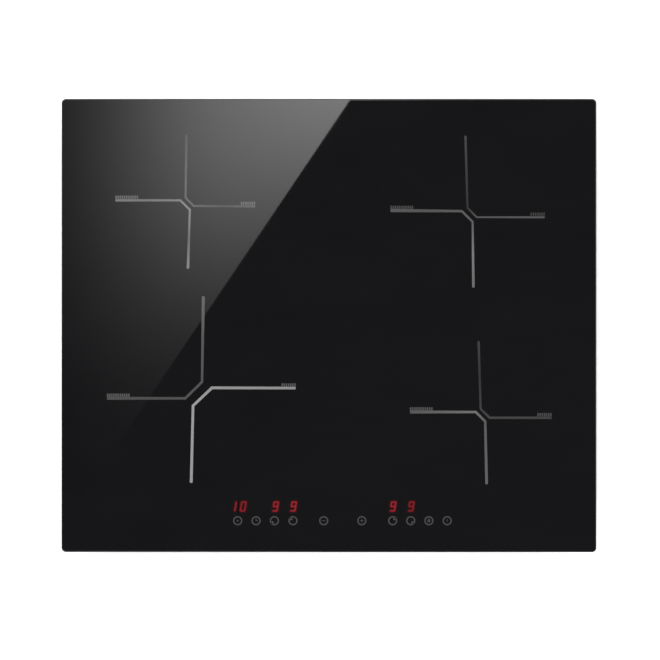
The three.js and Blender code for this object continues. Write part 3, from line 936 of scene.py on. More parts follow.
PAN_SCREW = Sizes(radius=3.6, height=2.0, recess=1.9, depth=1.1)
SMALL_SCREW = 0.8
WALL_SCREWS = Sizes(side_rows=(-205, -150, -60, 60, 150, 205), side_height=36,
                    end_columns=(-235, 235), rear_columns=(-150, 150), end_height=37)


def pan_head(bm, place, way, scale=1.0):
    """A domed screw head with a cross recess, and a thin washer face."""
    r, h = PAN_SCREW.radius * scale, PAN_SCREW.height * scale
    recess, depth = PAN_SCREW.recess * scale, PAN_SCREW.depth * scale
    profile = [(0, 0), (1.25 * r, 0), (1.25 * r, 0.2 * h), (r, 0.22 * h), (0.97 * r, 0.55 * h),
               (0.82 * r, 0.88 * h), (0.62 * r, h), (recess, h), (0.55 * recess, h - depth), (0, h - depth)]
    turned(bm, profile, 24, facing(place, way), {7: cross, 8: cross})


def wall_screws():
    """Rows of screws through the upper wall that hold the coil shelves and the glass frame."""
    bm = bmesh.new()
    x, y = UPPER_TUB[0] / 2, UPPER_TUB[1] / 2
    low, high = WALL_SCREWS.side_height, WALL_SCREWS.end_height
    for side in SIDES.values():
        for row in WALL_SCREWS.side_rows:
            pan_head(bm, (side * x, row, low), (side, 0, 0))
        for column in WALL_SCREWS.end_columns:
            pan_head(bm, (column, side * y, high), (0, side, 0))
    for column in WALL_SCREWS.rear_columns:
        pan_head(bm, (column, y, high), (0, 1, 0))
    piece("wall_screws", bm, "screw_steel", 40)


def floor_screws():
    """Countersunk screws, flush with the pan's underside, under the trays, rail and housings."""
    bm = bmesh.new()
    profile = [(0, 0.8), (1.9, 0.8), (3.4, 0.05), (3.1, 0), (1.9, 0), (1.1, 0.55), (0, 0.55)]
    for spot in FLOOR_SCREWS:
        turned(bm, profile, 24, at(*spot), {4: cross, 5: cross})
    piece("floor_screws", bm, "screw_steel", 40)


# Seals

# Each seal's slot, the width of its band, how round its edges are, and its corner
SEALS = {"worktop_gasket": ("foam", 6, 0.9, 4), "glass_bond": ("silicone", 5, 0.3, 13)}


def seals():
    """The foam strip that lies on the worktop and the silicone that bonds the glass to the flange."""
    for node, (slot, band, soft, corner) in SEALS.items():
        low, high = box(node)
        quarters = (((soft, low.z + soft), 180), ((band - soft, low.z + soft), 270),
                    ((band - soft, high.z - soft), 0), ((soft, high.z - soft), 90))
        section = [point for centre, start in quarters
                   for point in round_points(centre, soft, start, start + 90, 4)]
        bm = bmesh.new()
        loft(bm, rectangle_loops((high - low).xy, corner, section), ring=True)
        stand_in(node, "strip", bm, slot, 50)


# Worktop clamps

THREAD = Sizes(radius=2.5, pitch=0.8, depth=0.34, steps=16, rows=5)
HEAD = Sizes(height=2.5, socket=2.3, depth=1.6)
ARM = Sizes(thick=2.5, edge=0.35, bore=4.3, lip=2.5, teeth=7)
NUT = Sizes(flange=1.9, neck=4, bore=2.8)
BEAD = Sizes(middle=14.5, length=13, width=4)


def threaded_shank(bm, x, y, bottom, top):
    """A screw thread: a shank whose radius rises and falls along a helix."""
    pitch, steps = THREAD.pitch, THREAD.steps
    count = int((top - bottom) / pitch * THREAD.rows)
    rows = []
    for i in range(count + 1):
        z = bottom + (top - bottom) * i / count
        fade = min(1, (top - z) / (2 * pitch))
        rows.append([])
        for k in range(steps):
            wave = abs((z / pitch - k / steps) % 1 - 0.5) * 2
            r = THREAD.radius - THREAD.depth * (wave * fade + (1 - fade))
            rows[-1].append(Vector((x, y, 0)) + polar(r, 2 * math.pi * k / steps, z))
    loft(bm, rows)


def clamp_screw(corner):
    """A socket-head screw that hangs from the step, threaded along its length."""
    name = f"clamp_screw_{corner}"
    low, high = box(name)
    x, y = middle(name).xy
    radius, socket = (high.x - low.x) / 2, HEAD.socket
    head_top, recess = low.z + HEAD.height, low.z + HEAD.depth
    bm = bmesh.new()
    profile = eased([(0, head_top), (radius, head_top), (radius, low.z), (socket, low.z, 0),
                     (socket, recess, 0), (0, recess)], 0.35)
    turned(bm, profile, 48, at(x, y), {5: hexagon, 6: hexagon})
    threaded_shank(bm, x, y, head_top - 0.1, high.z)
    stand_in(name, "detail", bm, "screw_steel", 35)


def clamp_nut(corner):
    """A flanged nut whose neck carries the arm."""
    name = f"clamp_nut_{corner}"
    low, high = box(name)
    flange, shoulder = (high.x - low.x) / 2, low.z + NUT.flange
    corners = [(NUT.bore, low.z), (flange, low.z), (flange, shoulder), (NUT.neck, shoulder),
               (NUT.neck, high.z), (NUT.bore, high.z)]
    lathe(name, "detail", corners, 0.3, 48, "screw_steel", 50, closed=True, body=name)


def strip_outline(reach, half, inset):
    """The arm from above, pointing along X: round about its pivot and square at its far end."""
    r, far = half - inset, reach - inset
    return round_points((0, 0), r, 90, 270, 20) + [(far, -r), (far, r)]


def clamp_arm(corner, end):
    """The swivelling strip, with rounded edges and a bore round its nut's neck."""
    name = f"clamp_arm_{corner}"
    low, high = box(name)
    half = (high.x - low.x) / 2
    reach = (high.y - low.y) - half
    edge, top = ARM.edge, low.z + ARM.thick
    pivot_y = high.y - half if end > 0 else low.y + half
    place = at((low.x + high.x) / 2, pivot_y) @ Matrix.Rotation(-end * math.pi / 2, 4, "Z")
    bm = bmesh.new()
    section = ((edge, low.z), (0, low.z + edge), (0, top - edge), (edge, top))
    loft(bm, [lifted(strip_outline(reach, half, inset), z, place) for inset, z in section])
    made = stand_in(name, "detail", bm, "zinc_steel", body=name)
    cutter = bmesh.new()
    rod(cutter, ARM.bore, low.z - 1, top + 1, 40, place)
    cut_away(made, cutter)
    clamp_teeth(corner, place, reach, half, top, high.z - top)
    clamp_bead(corner, place, top)


def clamp_teeth(corner, place, reach, half, top, lip):
    """A row of saw teeth along the arm's turned-up end."""
    edge = ARM.edge
    pitch = 2 * (half - edge) / ARM.teeth
    outline = [(edge - half, top - 0.1)]
    for i in range(ARM.teeth):
        start = edge - half + i * pitch
        outline += [(start + share * pitch, top + rise * lip)
                    for share, rise in ((0.12, 0.35), (0.5, 1), (0.88, 0.35))]
    outline.append((half - edge, top - 0.1))
    bm = bmesh.new()
    loft(bm, [[place @ Vector((x, y, z)) for y, z in outline] for x in (reach - ARM.lip, reach - edge)])
    piece(f"clamp_teeth_{corner}", bm, "zinc_steel", body=f"clamp_arm_{corner}")


def clamp_bead(corner, place, top):
    """A bead pressed up out of the arm, which stiffens it."""
    spot, outline = place @ at(BEAD.middle, 0), slot_outline(BEAD.length, BEAD.width)
    bm = bmesh.new()
    loft(bm, [lifted([(x * grow, y * grow) for x, y in outline], z, spot)
              for grow, z in ((1, top - 0.1), (0.96, top + 0.35), (0.8, top + 0.5))])
    piece(f"clamp_bead_{corner}", bm, "zinc_steel", 30, body=f"clamp_arm_{corner}")


def clamps():
    for end_name, end in ENDS.items():
        for side_name in SIDES:
            corner = f"{end_name}_{side_name}"
            clamp_screw(corner)
            clamp_nut(corner)
            clamp_arm(corner, end)


# Mains terminals

CABLE_OUTLET = (TERMINAL_LOW.x, TERMINAL_HIGH.y - 7.4, TERMINAL_LOW.z + 10)
CABLE_HOLE = 6
ROOF_RIBS = Sizes(count=6, start=12, pitch=13.2, width=1.6)
SIDE_RIBS = (5, 10, 15, 20)
FLAP = Sizes(thick=1.8, barrel=1.2, knuckles=5, gap=1, pin=0.6)


def terminal_box():
    """The cover's box: a hollow moulding with rounded edges, open to the rear."""
    low, high, wall = TERMINAL_LOW, TERMINAL_HIGH, TERMINAL_WALL
    bm = bmesh.new()
    block(bm, low, high, 0.8)
    made = piece("terminal_housing", bm, "black_plastic", stands_for="terminal_box")
    cutter = bmesh.new()
    block(cutter, low + Vector((wall, wall, wall)), (high.x - wall, high.y + 2, high.z - wall), 0.6)
    terminal_window(cutter, low.y - 1, low.y + wall + 1)
    rod(cutter, CABLE_HOLE, -wall, 2 * wall, 32, along_x(*CABLE_OUTLET))
    cut_away(made, cutter)


def terminal_trim():
    """Ribs over the box's roof and side, and the rubber grommet of its cable."""
    low, high = TERMINAL_LOW, TERMINAL_HIGH
    ribs, grommet = bmesh.new(), bmesh.new()
    for i in range(ROOF_RIBS.count):
        x = low.x + ROOF_RIBS.start + i * ROOF_RIBS.pitch
        end = (x + ROOF_RIBS.width, high.y - 3, high.z + 0.9)
        block(ribs, (x, low.y + 1.5, high.z - 0.1), end, 0.3)
    for z in SIDE_RIBS:
        block(ribs, (high.x - 0.1, low.y + 1.5, z), (high.x + 0.8, high.y - 2, z + 1.2), 0.3)
    ring = [(4.4, -1.6), (6.9, -1.6), (7.4, -1.1), (7.4, 0), (5.9, 0), (5.9, 2), (7, 2.2), (6.6, 3),
            (4.6, 3), (4.4, 2.7), (4.4, -1.6)]
    turned(grommet, ring, 32, along_x(*CABLE_OUTLET))
    piece("terminal_ribs", ribs, "black_plastic")
    piece("cable_grommet", grommet, "silicone", 40)


def terminal_cover():
    """The hinged flap: a raised panel, and a barrel broken into knuckles round a pin."""
    low, high = box("terminal_cover")
    hinge_y, hinge_z = low.y + FLAP.barrel, high.z - FLAP.barrel
    inner = low.y + FLAP.thick
    bm = bmesh.new()
    block(bm, low, (high.x, inner, hinge_z - 1.6), 0.5)
    block(bm, (low.x + 5, inner - 0.1, low.z + 4), (high.x - 5, high.y, hinge_z - 5), 0.25)
    pitch = (high.x - low.x) / FLAP.knuckles
    for i in range(FLAP.knuckles):
        left, right = low.x + i * pitch + FLAP.gap, low.x + (i + 1) * pitch - FLAP.gap
        block(bm, (left + 0.5, low.y + 0.05, hinge_z - 2.2), (right - 0.5, inner - 0.1, hinge_z), 0.2)
        rod(bm, FLAP.barrel, 0, right - left, 20, along_x(left, hinge_y, hinge_z))
    piece("terminal_flap", bm, "black_plastic", 40, body="terminal_cover", stands_for="terminal_cover")
    pin = bmesh.new()
    rod(pin, FLAP.pin, 0.4, high.x - low.x - 0.4, 16, along_x(low.x, hinge_y, hinge_z))
    piece("hinge_pin", pin, "screw_steel", 40, body="terminal_cover")


# Coils

WINDING_BORE, SENSOR_HOLE = 17, 12
# The share of its pitch that a turn of litz fills, so that neighbours don't touch
LITZ_FILL = 0.99
FERRITES = Sizes(count=8, half_width=6, start=26.4, ring_inner=19, ring_outer=26, edge=0.5)
FORMER = Sizes(thick=2, bore=6, rim_inner=14.2, rim_outer=16.5)
SENSOR = Sizes(cup=9, flange=1.6)
SHELF = Sizes(thick=1.5, fold=1.5, slot=(70, 8), slot_x=150, slot_rows=(-165, 25, 215))
RAIL = Sizes(wall=1.2, fold=0.8, slots=9, pitch=44, slot=(24, 10), slot_height=20)


def coil_winding(zone):
    """Litz wire laid in a flat spiral from the former's rim outwards."""
    name = f"coil_winding_{zone}"
    low, high = box(name)
    thick = high.z - low.z
    first, last = WINDING_BORE + thick / 2, (high.x - low.x - thick) / 2
    radius = LITZ_FILL * thick / 2
    turns = math.floor((last - first) / (2 * radius))
    bm = bmesh.new()
    tube(bm, helix(middle(name), first, last, rise=0, turns=turns, steps=44), radius)
    stand_in(name, "spiral", bm, "copper", 60)


def ferrite_bars(zone):
    """Ground ferrite bars, set round a ring."""
    name = f"ferrite_star_{zone}"
    low, high = box(name)
    reach, place = (high.x - low.x) / 2, at(*middle(name).xy)
    half, edge = FERRITES.half_width, FERRITES.edge
    bm = bmesh.new()
    for spoke in spokes(place, FERRITES.count):
        block(bm, (FERRITES.start, -half, low.z), (reach, half, high.z), edge, 1, spoke)
    ring = bar(FERRITES.ring_inner, FERRITES.ring_outer, low.z, high.z)
    turned(bm, eased(ring, edge, closed=True), 64, place)
    stand_in(name, "bars", bm, "ferrite")


def coil_former(zone):
    """The disc that carries the winding, with a rim round its middle."""
    name = f"coil_former_{zone}"
    low, high = box(name)
    reach, top = (high.x - low.x) / 2, low.z + FORMER.thick
    corners = [(FORMER.bore, low.z, 0), (reach, low.z), (reach, top), (FORMER.rim_outer, top),
               (FORMER.rim_outer, high.z), (FORMER.rim_inner, high.z), (FORMER.rim_inner, top, 0),
               (FORMER.bore, top, 0)]
    lathe(name, "disc", corners, 0.4, 96, "former_plastic", 35, closed=True)


def mica_sheet(zone):
    """The thin insulating sheet over the winding, with a hole for the sensor."""
    name = f"mica_sheet_{zone}"
    low, high = box(name)
    x, y = middle(name).xy
    square = rounded_rectangle(high.x - low.x, high.x - low.x, 8, 11)
    turn = 180 / len(square)
    hole = round_points((0, 0), SENSOR_HOLE, turn, 360 + turn, len(square))[:-1]
    rings = ((square, low.z), (square, high.z), (hole, high.z), (hole, low.z))
    bm = bmesh.new()
    loft(bm, [lifted(outline, z, at(x, y)) for outline, z in rings], ring=True)
    stand_in(name, "plate", bm, "mica")


def heat_sensor(zone):
    """A soft cup round the thermistor, pressed against the glass."""
    name = f"heat_sensor_{zone}"
    low, high = box(name)
    flange, cup, shoulder = (high.x - low.x) / 2, SENSOR.cup, low.z + SENSOR.flange
    corners = [(0, low.z), (flange, low.z), (flange, shoulder), (cup, shoulder), (cup, high.z - 1, 0),
               (cup - 0.3, high.z - 0.3, 0), (cup - 1, high.z, 0), (0, high.z)]
    lathe(name, "cup", corners, 0.5, 48, "sensor_rubber", 50)


def coil_shelf(side_name, side):
    """The bent aluminium shelf under one side's coils, with holes for the sensor leads."""
    name = f"coil_shelf_{side_name}"
    low, high = box(name)
    thick, fold = SHELF.thick, SHELF.fold
    inner, outer = (low.x, high.x) if side > 0 else (high.x, low.x)
    knee = (side * outer - thick - fold, high.z - thick - fold)
    section = [(side * inner, high.z), *round_points(knee, fold + thick, 90, 0, 6), (side * outer, low.z),
               (side * outer - thick, low.z), *round_points(knee, fold, 0, 90, 6),
               (side * inner, high.z - thick)]
    bm = bmesh.new()
    prism(bm, [(side * x, z) for x, z in section], low.y, high.y, "Y")
    made = stand_in(name, "sheet", bm, "aluminium")
    cutter = bmesh.new()
    for end in ("rear", "front"):
        rod(cutter, SENSOR_HOLE, low.z, high.z + 1, 48, at(*middle(f"coil_former_{end}_{side_name}").xy))
    for y in SHELF.slot_rows:
        slot = moved(slot_outline(*SHELF.slot), side * SHELF.slot_x, y)
        prism(cutter, slot, high.z - 2 * thick, high.z + 1)
    cut_away(made, cutter, 30)


def centre_rail():
    """The folded channel between the shelves, with its bends rounded."""
    low, high = box("centre_rail")
    half, wall, fold = high.x, RAIL.wall, RAIL.fold
    over = fold + wall
    left, right = (over - half, high.z - over), (half - over, high.z - over)
    section = [(-half, low.z), (wall - half, low.z), *round_points(left, fold, 180, 90, 4),
               *round_points(right, fold, 90, 0, 4), (half - wall, low.z), (half, low.z),
               *round_points(right, over, 0, 90, 4), *round_points(left, over, 90, 180, 4)]
    bm = bmesh.new()
    prism(bm, section, low.y, high.y, "Y")
    made = piece("rail_channel", bm, "zinc_steel", stands_for="centre_rail")
    cutter = bmesh.new()
    for y in in_row(RAIL.slots, RAIL.pitch):
        prism(cutter, moved(slot_outline(*RAIL.slot), y, RAIL.slot_height), -2 * half, 2 * half, "X")
    cut_away(made, cutter)


# Power electronics

CHOKE = Sizes(wire=0.7, lift=0.8, wound=0.9)
BOARD_SCREW = Sizes(inset=4, radius=1.8)
NOTCH = Sizes(outside=2, inside=16, front=20, rear=44)
TRAY = Sizes(wall=2, floor=2, corner=3, inner_corner=1.5)
FINS = Sizes(count=9, tip=1.6, base=3, fillet=0.5)


def parts_box(bm, foot, size, bevel):
    """A block that stands on a spot."""
    low = Vector(foot) - Vector((size[0] / 2, size[1] / 2, 0))
    block(bm, low, low + Vector(size), bevel, 1)


def parts_can(bm, foot, radius, height, edge=0.6):
    """A can that stands on a spot, its top edge rounded."""
    turned(bm, eased([(0, 0), (radius, 0, 0), (radius, height), (0, height)], edge), 28, at(*foot))


def toroid(bm, centre, ring, radius, turns=26, steps=12):
    """A choke: wire wound round a ring core that lies on the board."""
    path = []
    for i in range(turns * steps + 1):
        around, twist = 2 * math.pi * CHOKE.wound * i / (turns * steps), 2 * math.pi * i / steps
        z = radius + CHOKE.lift + radius * math.sin(twist)
        path.append(Vector(centre) + polar(ring + radius * math.cos(twist), around, z))
    tube(bm, path, CHOKE.wire, 5)


def board(node, notch=None):
    """A laminate sheet cut with its notch and screw holes."""
    low, high = box(node)
    bm = bmesh.new()
    block(bm, low, high, 0.15, 1)
    made = stand_in(node, "laminate", bm, "circuit_board")
    cutter = bmesh.new()
    inset = BOARD_SCREW.inset
    for x in (low.x + inset, high.x - inset):
        for y in (low.y + inset, high.y - inset):
            rod(cutter, BOARD_SCREW.radius, low.z - 1, high.z + 1, 20, at(x, y))
    if notch:
        left, right, front, rear = notch
        block(cutter, (left, front, low.z - 1), (right, rear, high.z + 1))
    cut_away(made, cutter)


def power_board(side_name, side):
    """A main board, notched at its inner edge where the coils' leads come down."""
    edge = box(f"board_tray_{side_name}")[0 if side > 0 else 1].x
    left, right = sorted((edge - side * NOTCH.outside, edge + side * NOTCH.inside))
    board(f"power_board_{side_name}", (left, right, NOTCH.front, NOTCH.rear))


def board_tray(side_name):
    """The insulating tray under a power board, with a rounded rim."""
    name = f"board_tray_{side_name}"
    low, high = box(name)
    width, depth = (high - low).xy
    x, y = middle(name).xy
    wall, outer, inner = TRAY.wall, TRAY.corner, TRAY.inner_corner
    rim = high.z - 0.3
    section = ((0.4, outer, low.z), (0, outer, low.z + 0.4), (0, outer, rim), (0.3, outer, high.z),
               (wall - 0.3, inner + 0.1, high.z), (wall, inner, rim), (wall, inner, low.z + TRAY.floor))
    loops = []
    for inset, corner, z in section:
        outline = rounded_rectangle(width - 2 * inset, depth - 2 * inset, corner, 5)
        loops.append(lifted(outline, z, at(x, y)))
    bm = bmesh.new()
    loft(bm, loops)
    stand_in(name, "moulding", bm, "grey_plastic", 35)


def heat_sink(side_name):
    """The extruded comb, its fins tapered to a round tip and its base grooved."""
    name = f"heat_sink_{side_name}"
    low, high = box(name)
    groove, shoulder = low.z + FINS.base, high.z - 0.5
    root = groove + FINS.fillet
    pitch = (high.x - low.x - FINS.tip) / (FINS.count - 1)
    section = [(low.x, low.z), (high.x, low.z)]
    for i in range(FINS.count):
        right = high.x - i * pitch
        left = right - FINS.tip
        section += [(right, root if i else groove), (right - 0.2, shoulder), (right - 0.55, high.z),
                    (left + 0.55, high.z), (left + 0.2, shoulder)]
        if i < FINS.count - 1:
            section += [(left, root), (left - 0.6, groove), (right - pitch + 0.6, groove)]
        else:
            section.append((left, root))
    bm = bmesh.new()
    prism(bm, section, low.y, high.y, "Y")
    stand_in(name, "extrusion", bm, "aluminium", 40)


# The blocks on a power board: how far out and back each stands, its size and how round it is
POWER_BLOCKS = [(84, y, size, 0.8) for y, size in
                ((-150, (26, 18, 21)), (-118, (26, 18, 21)), (-82, (22, 14, 17)), (64, (26, 16, 19)))]
POWER_BLOCKS += [(112, -178, (19, 15, 15), 0.5), (140, -178, (19, 15, 15), 0.5), (150, 60, (29, 12, 14), 0.5),
                 (120, -20, (10, 22, 9), 0.5), (120, 12, (10, 22, 9), 0.5)]
POWER_BLOCKS += [(173.2, y, (5, 16, 20), 0.4) for y in (-60, -36, -12, 12, 36, 60)]
# Its cans: how far out and back each stands, its radius and its height
POWER_CANS = ((118, -140, 9, 22), (140, -140, 9, 22), (118, -116, 6, 14), (134, -114, 5, 11),
              (148, -96, 4, 10), (136, -96, 4, 10), (118, 46, 6, 13))
POWER_CHOKES = Sizes(x=84, rows=(-46, -8), ring=10, radius=4.6)
SOCKETS = Sizes(count=8, start=70, pitch=4, y=-184, size=(2.2, 7, 8))


def power_parts(side_name, side):
    """What stands on a power board: film and can capacitors, chokes, relays, sockets and switches."""
    foot = box(f"power_board_{side_name}")[1].z
    boxes, cans, tops, chokes, pins = (bmesh.new() for _ in range(5))
    for x, y, size, bevel in POWER_BLOCKS:
        parts_box(boxes, (side * x, y, foot), size, bevel)
    for x, y, r, h in POWER_CANS:
        parts_can(cans, (side * x, y, foot), r, h)
        parts_can(tops, (side * x, y, foot + h - 0.3), r - 0.8, 0.4, 0.1)
    for y in POWER_CHOKES.rows:
        toroid(chokes, (side * POWER_CHOKES.x, y, foot), POWER_CHOKES.ring, POWER_CHOKES.radius)
    for i in range(SOCKETS.count):
        x = side * (SOCKETS.start + i * SOCKETS.pitch)
        parts_box(pins, (x, SOCKETS.y, foot), SOCKETS.size, 0.2)
    piece(f"power_blocks_{side_name}", boxes, "black_plastic")
    piece(f"power_cans_{side_name}", cans, "black_plastic", 40)
    piece(f"power_can_tops_{side_name}", tops, "aluminium", 40)
    piece(f"power_chokes_{side_name}", chokes, "copper", 60)
    piece(f"power_sockets_{side_name}", pins, "former_plastic")


# The mains filter's blocks: where each stands and its size
FILTER_BLOCKS = [(x, y, size) for x, size, rows in
                 ((40, (24, 12, 17), (120, 140)), (92, (18, 14, 14), (118, 138)), (66, (44, 12, 12), (190,)))
                 for y in rows]
FILTER_CHOKES = Sizes(columns=(44, 78), y=166, ring=9, radius=4.4, turns=22)


def filter_parts():
    """The mains filter's two chokes and its film capacitors."""
    foot = box("filter_board")[1].z
    boxes, coils = bmesh.new(), bmesh.new()
    for x, y, size in FILTER_BLOCKS:
        parts_box(boxes, (x, y, foot), size, 0.8)
    chokes = FILTER_CHOKES
    for x in chokes.columns:
        toroid(coils, (x, chokes.y, foot), chokes.ring, chokes.radius, chokes.turns)
    piece("filter_blocks", boxes, "grey_plastic")
    piece("filter_chokes", coils, "copper", 60)


# Touch control

MODULE = Sizes(rim=0.7, proud=0.4)
KEY_SPRING = Sizes(y=-217.5, radius=3.2, gap=0.6, turns=5, wire=0.25)
CHIPS_Y = -198
# Each chip's place along the touch board and its size
TOUCH_CHIPS = ((20, (10, 10, 1.4)), (52, (7, 7, 1.2)), (-20, (5, 4, 1)), (-12, (5, 4, 1)), (4, (4, 5, 1)))


def touch_control():
    """The board under the keys, with a spring that reaches up from it to each key."""
    board("touch_board")
    top = box("touch_board")[1].z
    springs, chips = bmesh.new(), bmesh.new()
    radius, rise = KEY_SPRING.radius, GLASS_LOW.z - KEY_SPRING.gap - top
    for x, _ in KEYS.values():
        path = helix((x, KEY_SPRING.y, top + 0.3), radius, radius, rise, KEY_SPRING.turns, steps=12)
        tube(springs, path, KEY_SPRING.wire, 5)
    for x, size in TOUCH_CHIPS:
        parts_box(chips, (x, CHIPS_Y, top), size, 0.15)
    piece("key_springs", springs, "screw_steel", 60)
    piece("touch_chips", chips, "black_plastic")


def display_modules():
    """A pale case with a red window set into its top, for each pair or single digit."""
    for name in sorted(node for node in frame["nodes"] if node.startswith("display_")):
        low, high = box(name)
        case, window = bmesh.new(), bmesh.new()
        block(case, low, (high.x, high.y, high.z - MODULE.proud), 0.4)
        foot = (low.x + MODULE.rim, low.y + MODULE.rim, high.z - 2 * MODULE.proud)
        block(window, foot, (high.x - MODULE.rim, high.y - MODULE.rim, high.z), 0.2)
        stand_in(name, "case", case, "grey_plastic")
        piece(f"{name}_window", window, "display")


# Blowers

WHEEL = Sizes(blades=32, ring=7, plate=1.6, shaft=3.5, lean=0.13, half_blade=0.3)
SCROLL = Sizes(radius=47, chute=-13, wall=1.8)
LUGS = Sizes(radius=50.5, height=4, angles=(45, 135, 213))
MOTOR_RIBS = Sizes(count=6, start=16.5, stop=43, half_width=0.9)


def impeller(side_name, side):
    """A drum of forward-curved blades between a back plate and a front ring."""
    name = f"blower_impeller_{side_name}"
    low, high = box(name)
    x, y = middle(name).xy
    outer, top, plate = (high.x - low.x) / 2, high.z - WHEEL.shaft, WHEEL.plate
    inner = outer - WHEEL.ring
    hub = eased([(0, low.z + 5), (11, low.z + 5, 0), (13, low.z + 7, 0), (13, top - plate - 1, 0),
                 (15, top - plate, 0), (outer, top - plate), (outer, top), (2.4, top, 0),
                 (2.4, high.z, 0.3), (0, high.z)], 0.4)
    bm = bmesh.new()
    turned(bm, hub, 64, at(x, y))
    washer(bm, inner, outer, low.z, low.z + plate, 64, at(x, y))
    for i in range(WHEEL.blades):
        section = []
        for face in (1, -1):
            for share in [k / 5 for k in range(6)][::face]:
                r = inner + 0.5 + (WHEEL.ring - 1) * share
                curve = side * WHEEL.lean * (1 - (1 - share) ** 2) + face * WHEEL.half_blade / r
                section.append(polar(r, 2 * math.pi * i / WHEEL.blades + curve).xy)
        prism(bm, moved(section, x, y), low.z + plate - 0.1, top - plate + 0.1)
    stand_in(name, "drum", bm, "black_plastic", 35, body=f"blower_{side_name}")


def scroll_outline(side, shrink, front):
    """The scroll seen from above: a round body and a chute that runs forwards on the outer side."""
    radius, inner = SCROLL.radius - shrink, SCROLL.chute + shrink
    stop = 360 - math.degrees(math.acos(inner / radius))
    points = round_points((0, 0), radius, 0, stop, 40) + [(inner, -front), (radius, -front)]
    return points if side > 0 else [(-x, y) for x, y in reversed(points)]


def blower_scroll(side_name, side):
    """The scroll: a hollow housing open at its mouth, with a bell-shaped inlet below."""
    name, wall = f"blower_housing_{side_name}", SCROLL.wall
    low, high = box(name)
    x, y = middle(f"blower_impeller_{side_name}").xy
    reach, tall, foot = y - low.y, high.z - low.z, at(x, y, low.z)
    section = ((0.5, 0), (0, 0.5), (0, tall - 1.2), (0.35, tall - 0.35), (1.2, tall))
    bm = bmesh.new()
    loft(bm, [lifted(scroll_outline(side, inset, reach), z, foot) for inset, z in section])
    made = stand_in(name, "scroll", bm, "black_plastic")
    cutter = bmesh.new()
    prism(cutter, moved(scroll_outline(side, wall, reach + 1), x, y), low.z + wall, high.z - wall)
    bell = [(0, -1), (32, -1), (32, 0), (30.4, 0.8), (30, 1.4), (30, wall + 1), (0, wall + 1)]
    turned(cutter, bell, 64, foot)
    cut_away(made, cutter)


def blower_trim(side_name, side):
    """The motor's cap and boss, ribs that fan out from it, and three screwed lugs."""
    name = f"blower_housing_{side_name}"
    low, high = box(name)
    x, y = middle(f"blower_impeller_{side_name}").xy
    top = at(x, y, high.z)
    trim, screws = bmesh.new(), bmesh.new()
    turned(trim, [(0, -0.5), (17, -0.5), (17, 0.9), (16.2, 1.6), (9, 1.6), (8.6, 1.1), (0, 1.1)], 48, top)
    washer(trim, 3, 10, -5.3, 0.1 - SCROLL.wall, 32, top)
    half, tall = MOTOR_RIBS.half_width, LUGS.height
    for spoke in spokes(top, MOTOR_RIBS.count):
        block(trim, (MOTOR_RIBS.start, -half, -0.4), (MOTOR_RIBS.stop, half, 0.8), 0.3, place=spoke)
    for degrees in LUGS.angles:
        angle = math.radians(degrees if side > 0 else 180 - degrees)
        spot = Vector((x, y, low.z)) + polar(LUGS.radius, angle)
        turned(trim, [(0, 0), (5.4, 0), (5, tall - 0.4), (4.6, tall), (0, tall)], 28, at(*spot))
        pan_head(screws, spot + Vector((0, 0, tall)), (0, 0, 1), SMALL_SCREW)
    piece(f"{name}_trim", trim, "black_plastic", 35)
    piece(f"{name}_screws", screws, "screw_steel", 40)


# Terminals and wiring

POLES = Sizes(count=5, barrier=1.6, depth=2.8, half_width=4, half_height=5)
SHELF_SCREWS = Sizes(x=6, rows=(-165, -55, 55, 165))
RIBBON = Sizes(strands=8, pitch=1.3, radius=0.65)
# The colours of a bundle's leads
LEADS = ("black_plastic", "grey_plastic", "former_plastic")


def terminal_block():
    """A barrier strip: screw terminals with a wall between each pair."""
    low, high = box("terminal_block")
    barrier, half, tall = POLES.barrier, POLES.half_width, POLES.half_height
    pitch, face, z = (high.x - low.x) / POLES.count, high.y - POLES.depth, (low.z + high.z) / 2
    strip, metal = bmesh.new(), bmesh.new()
    block(strip, low, (high.x, face, high.z), 0.4)
    for i in range(POLES.count + 1):
        x = min(max(low.x + i * pitch - barrier / 2, low.x), high.x - barrier)
        block(strip, (x, low.y + 1, low.z + 0.4), (x + barrier, high.y, high.z - 0.4), 0.3)
    for i in range(POLES.count):
        x = low.x + (i + 0.5) * pitch
        block(metal, (x - half, face - 0.2, z - tall), (x + half, face + 0.7, z + tall), 0.2)
        pan_head(metal, (x, face + 0.6, z), (0, 1, 0), SMALL_SCREW)
    piece("terminal_strip", strip, "grey_plastic", stands_for="terminal_block")
    piece("terminal_screws", metal, "screw_steel", 40)


def shelf_screws():
    """Screws that hold the two shelves down on the centre rail."""
    bm = bmesh.new()
    top = box("coil_shelf_left")[1].z
    for side in SIDES.values():
        for y in SHELF_SCREWS.rows:
            pan_head(bm, (side * SHELF_SCREWS.x, y, top), (0, 0, 1), SMALL_SCREW)
    piece("shelf_screws", bm, "screw_steel", 40)


def wire(name, points, radius, slot, side=1):
    """A lead through some points, which the left side mirrors."""
    bm = bmesh.new()
    tube(bm, smooth_path([(side * x, y, z) for x, y, z in points]), radius)
    piece(name, bm, slot, 60)


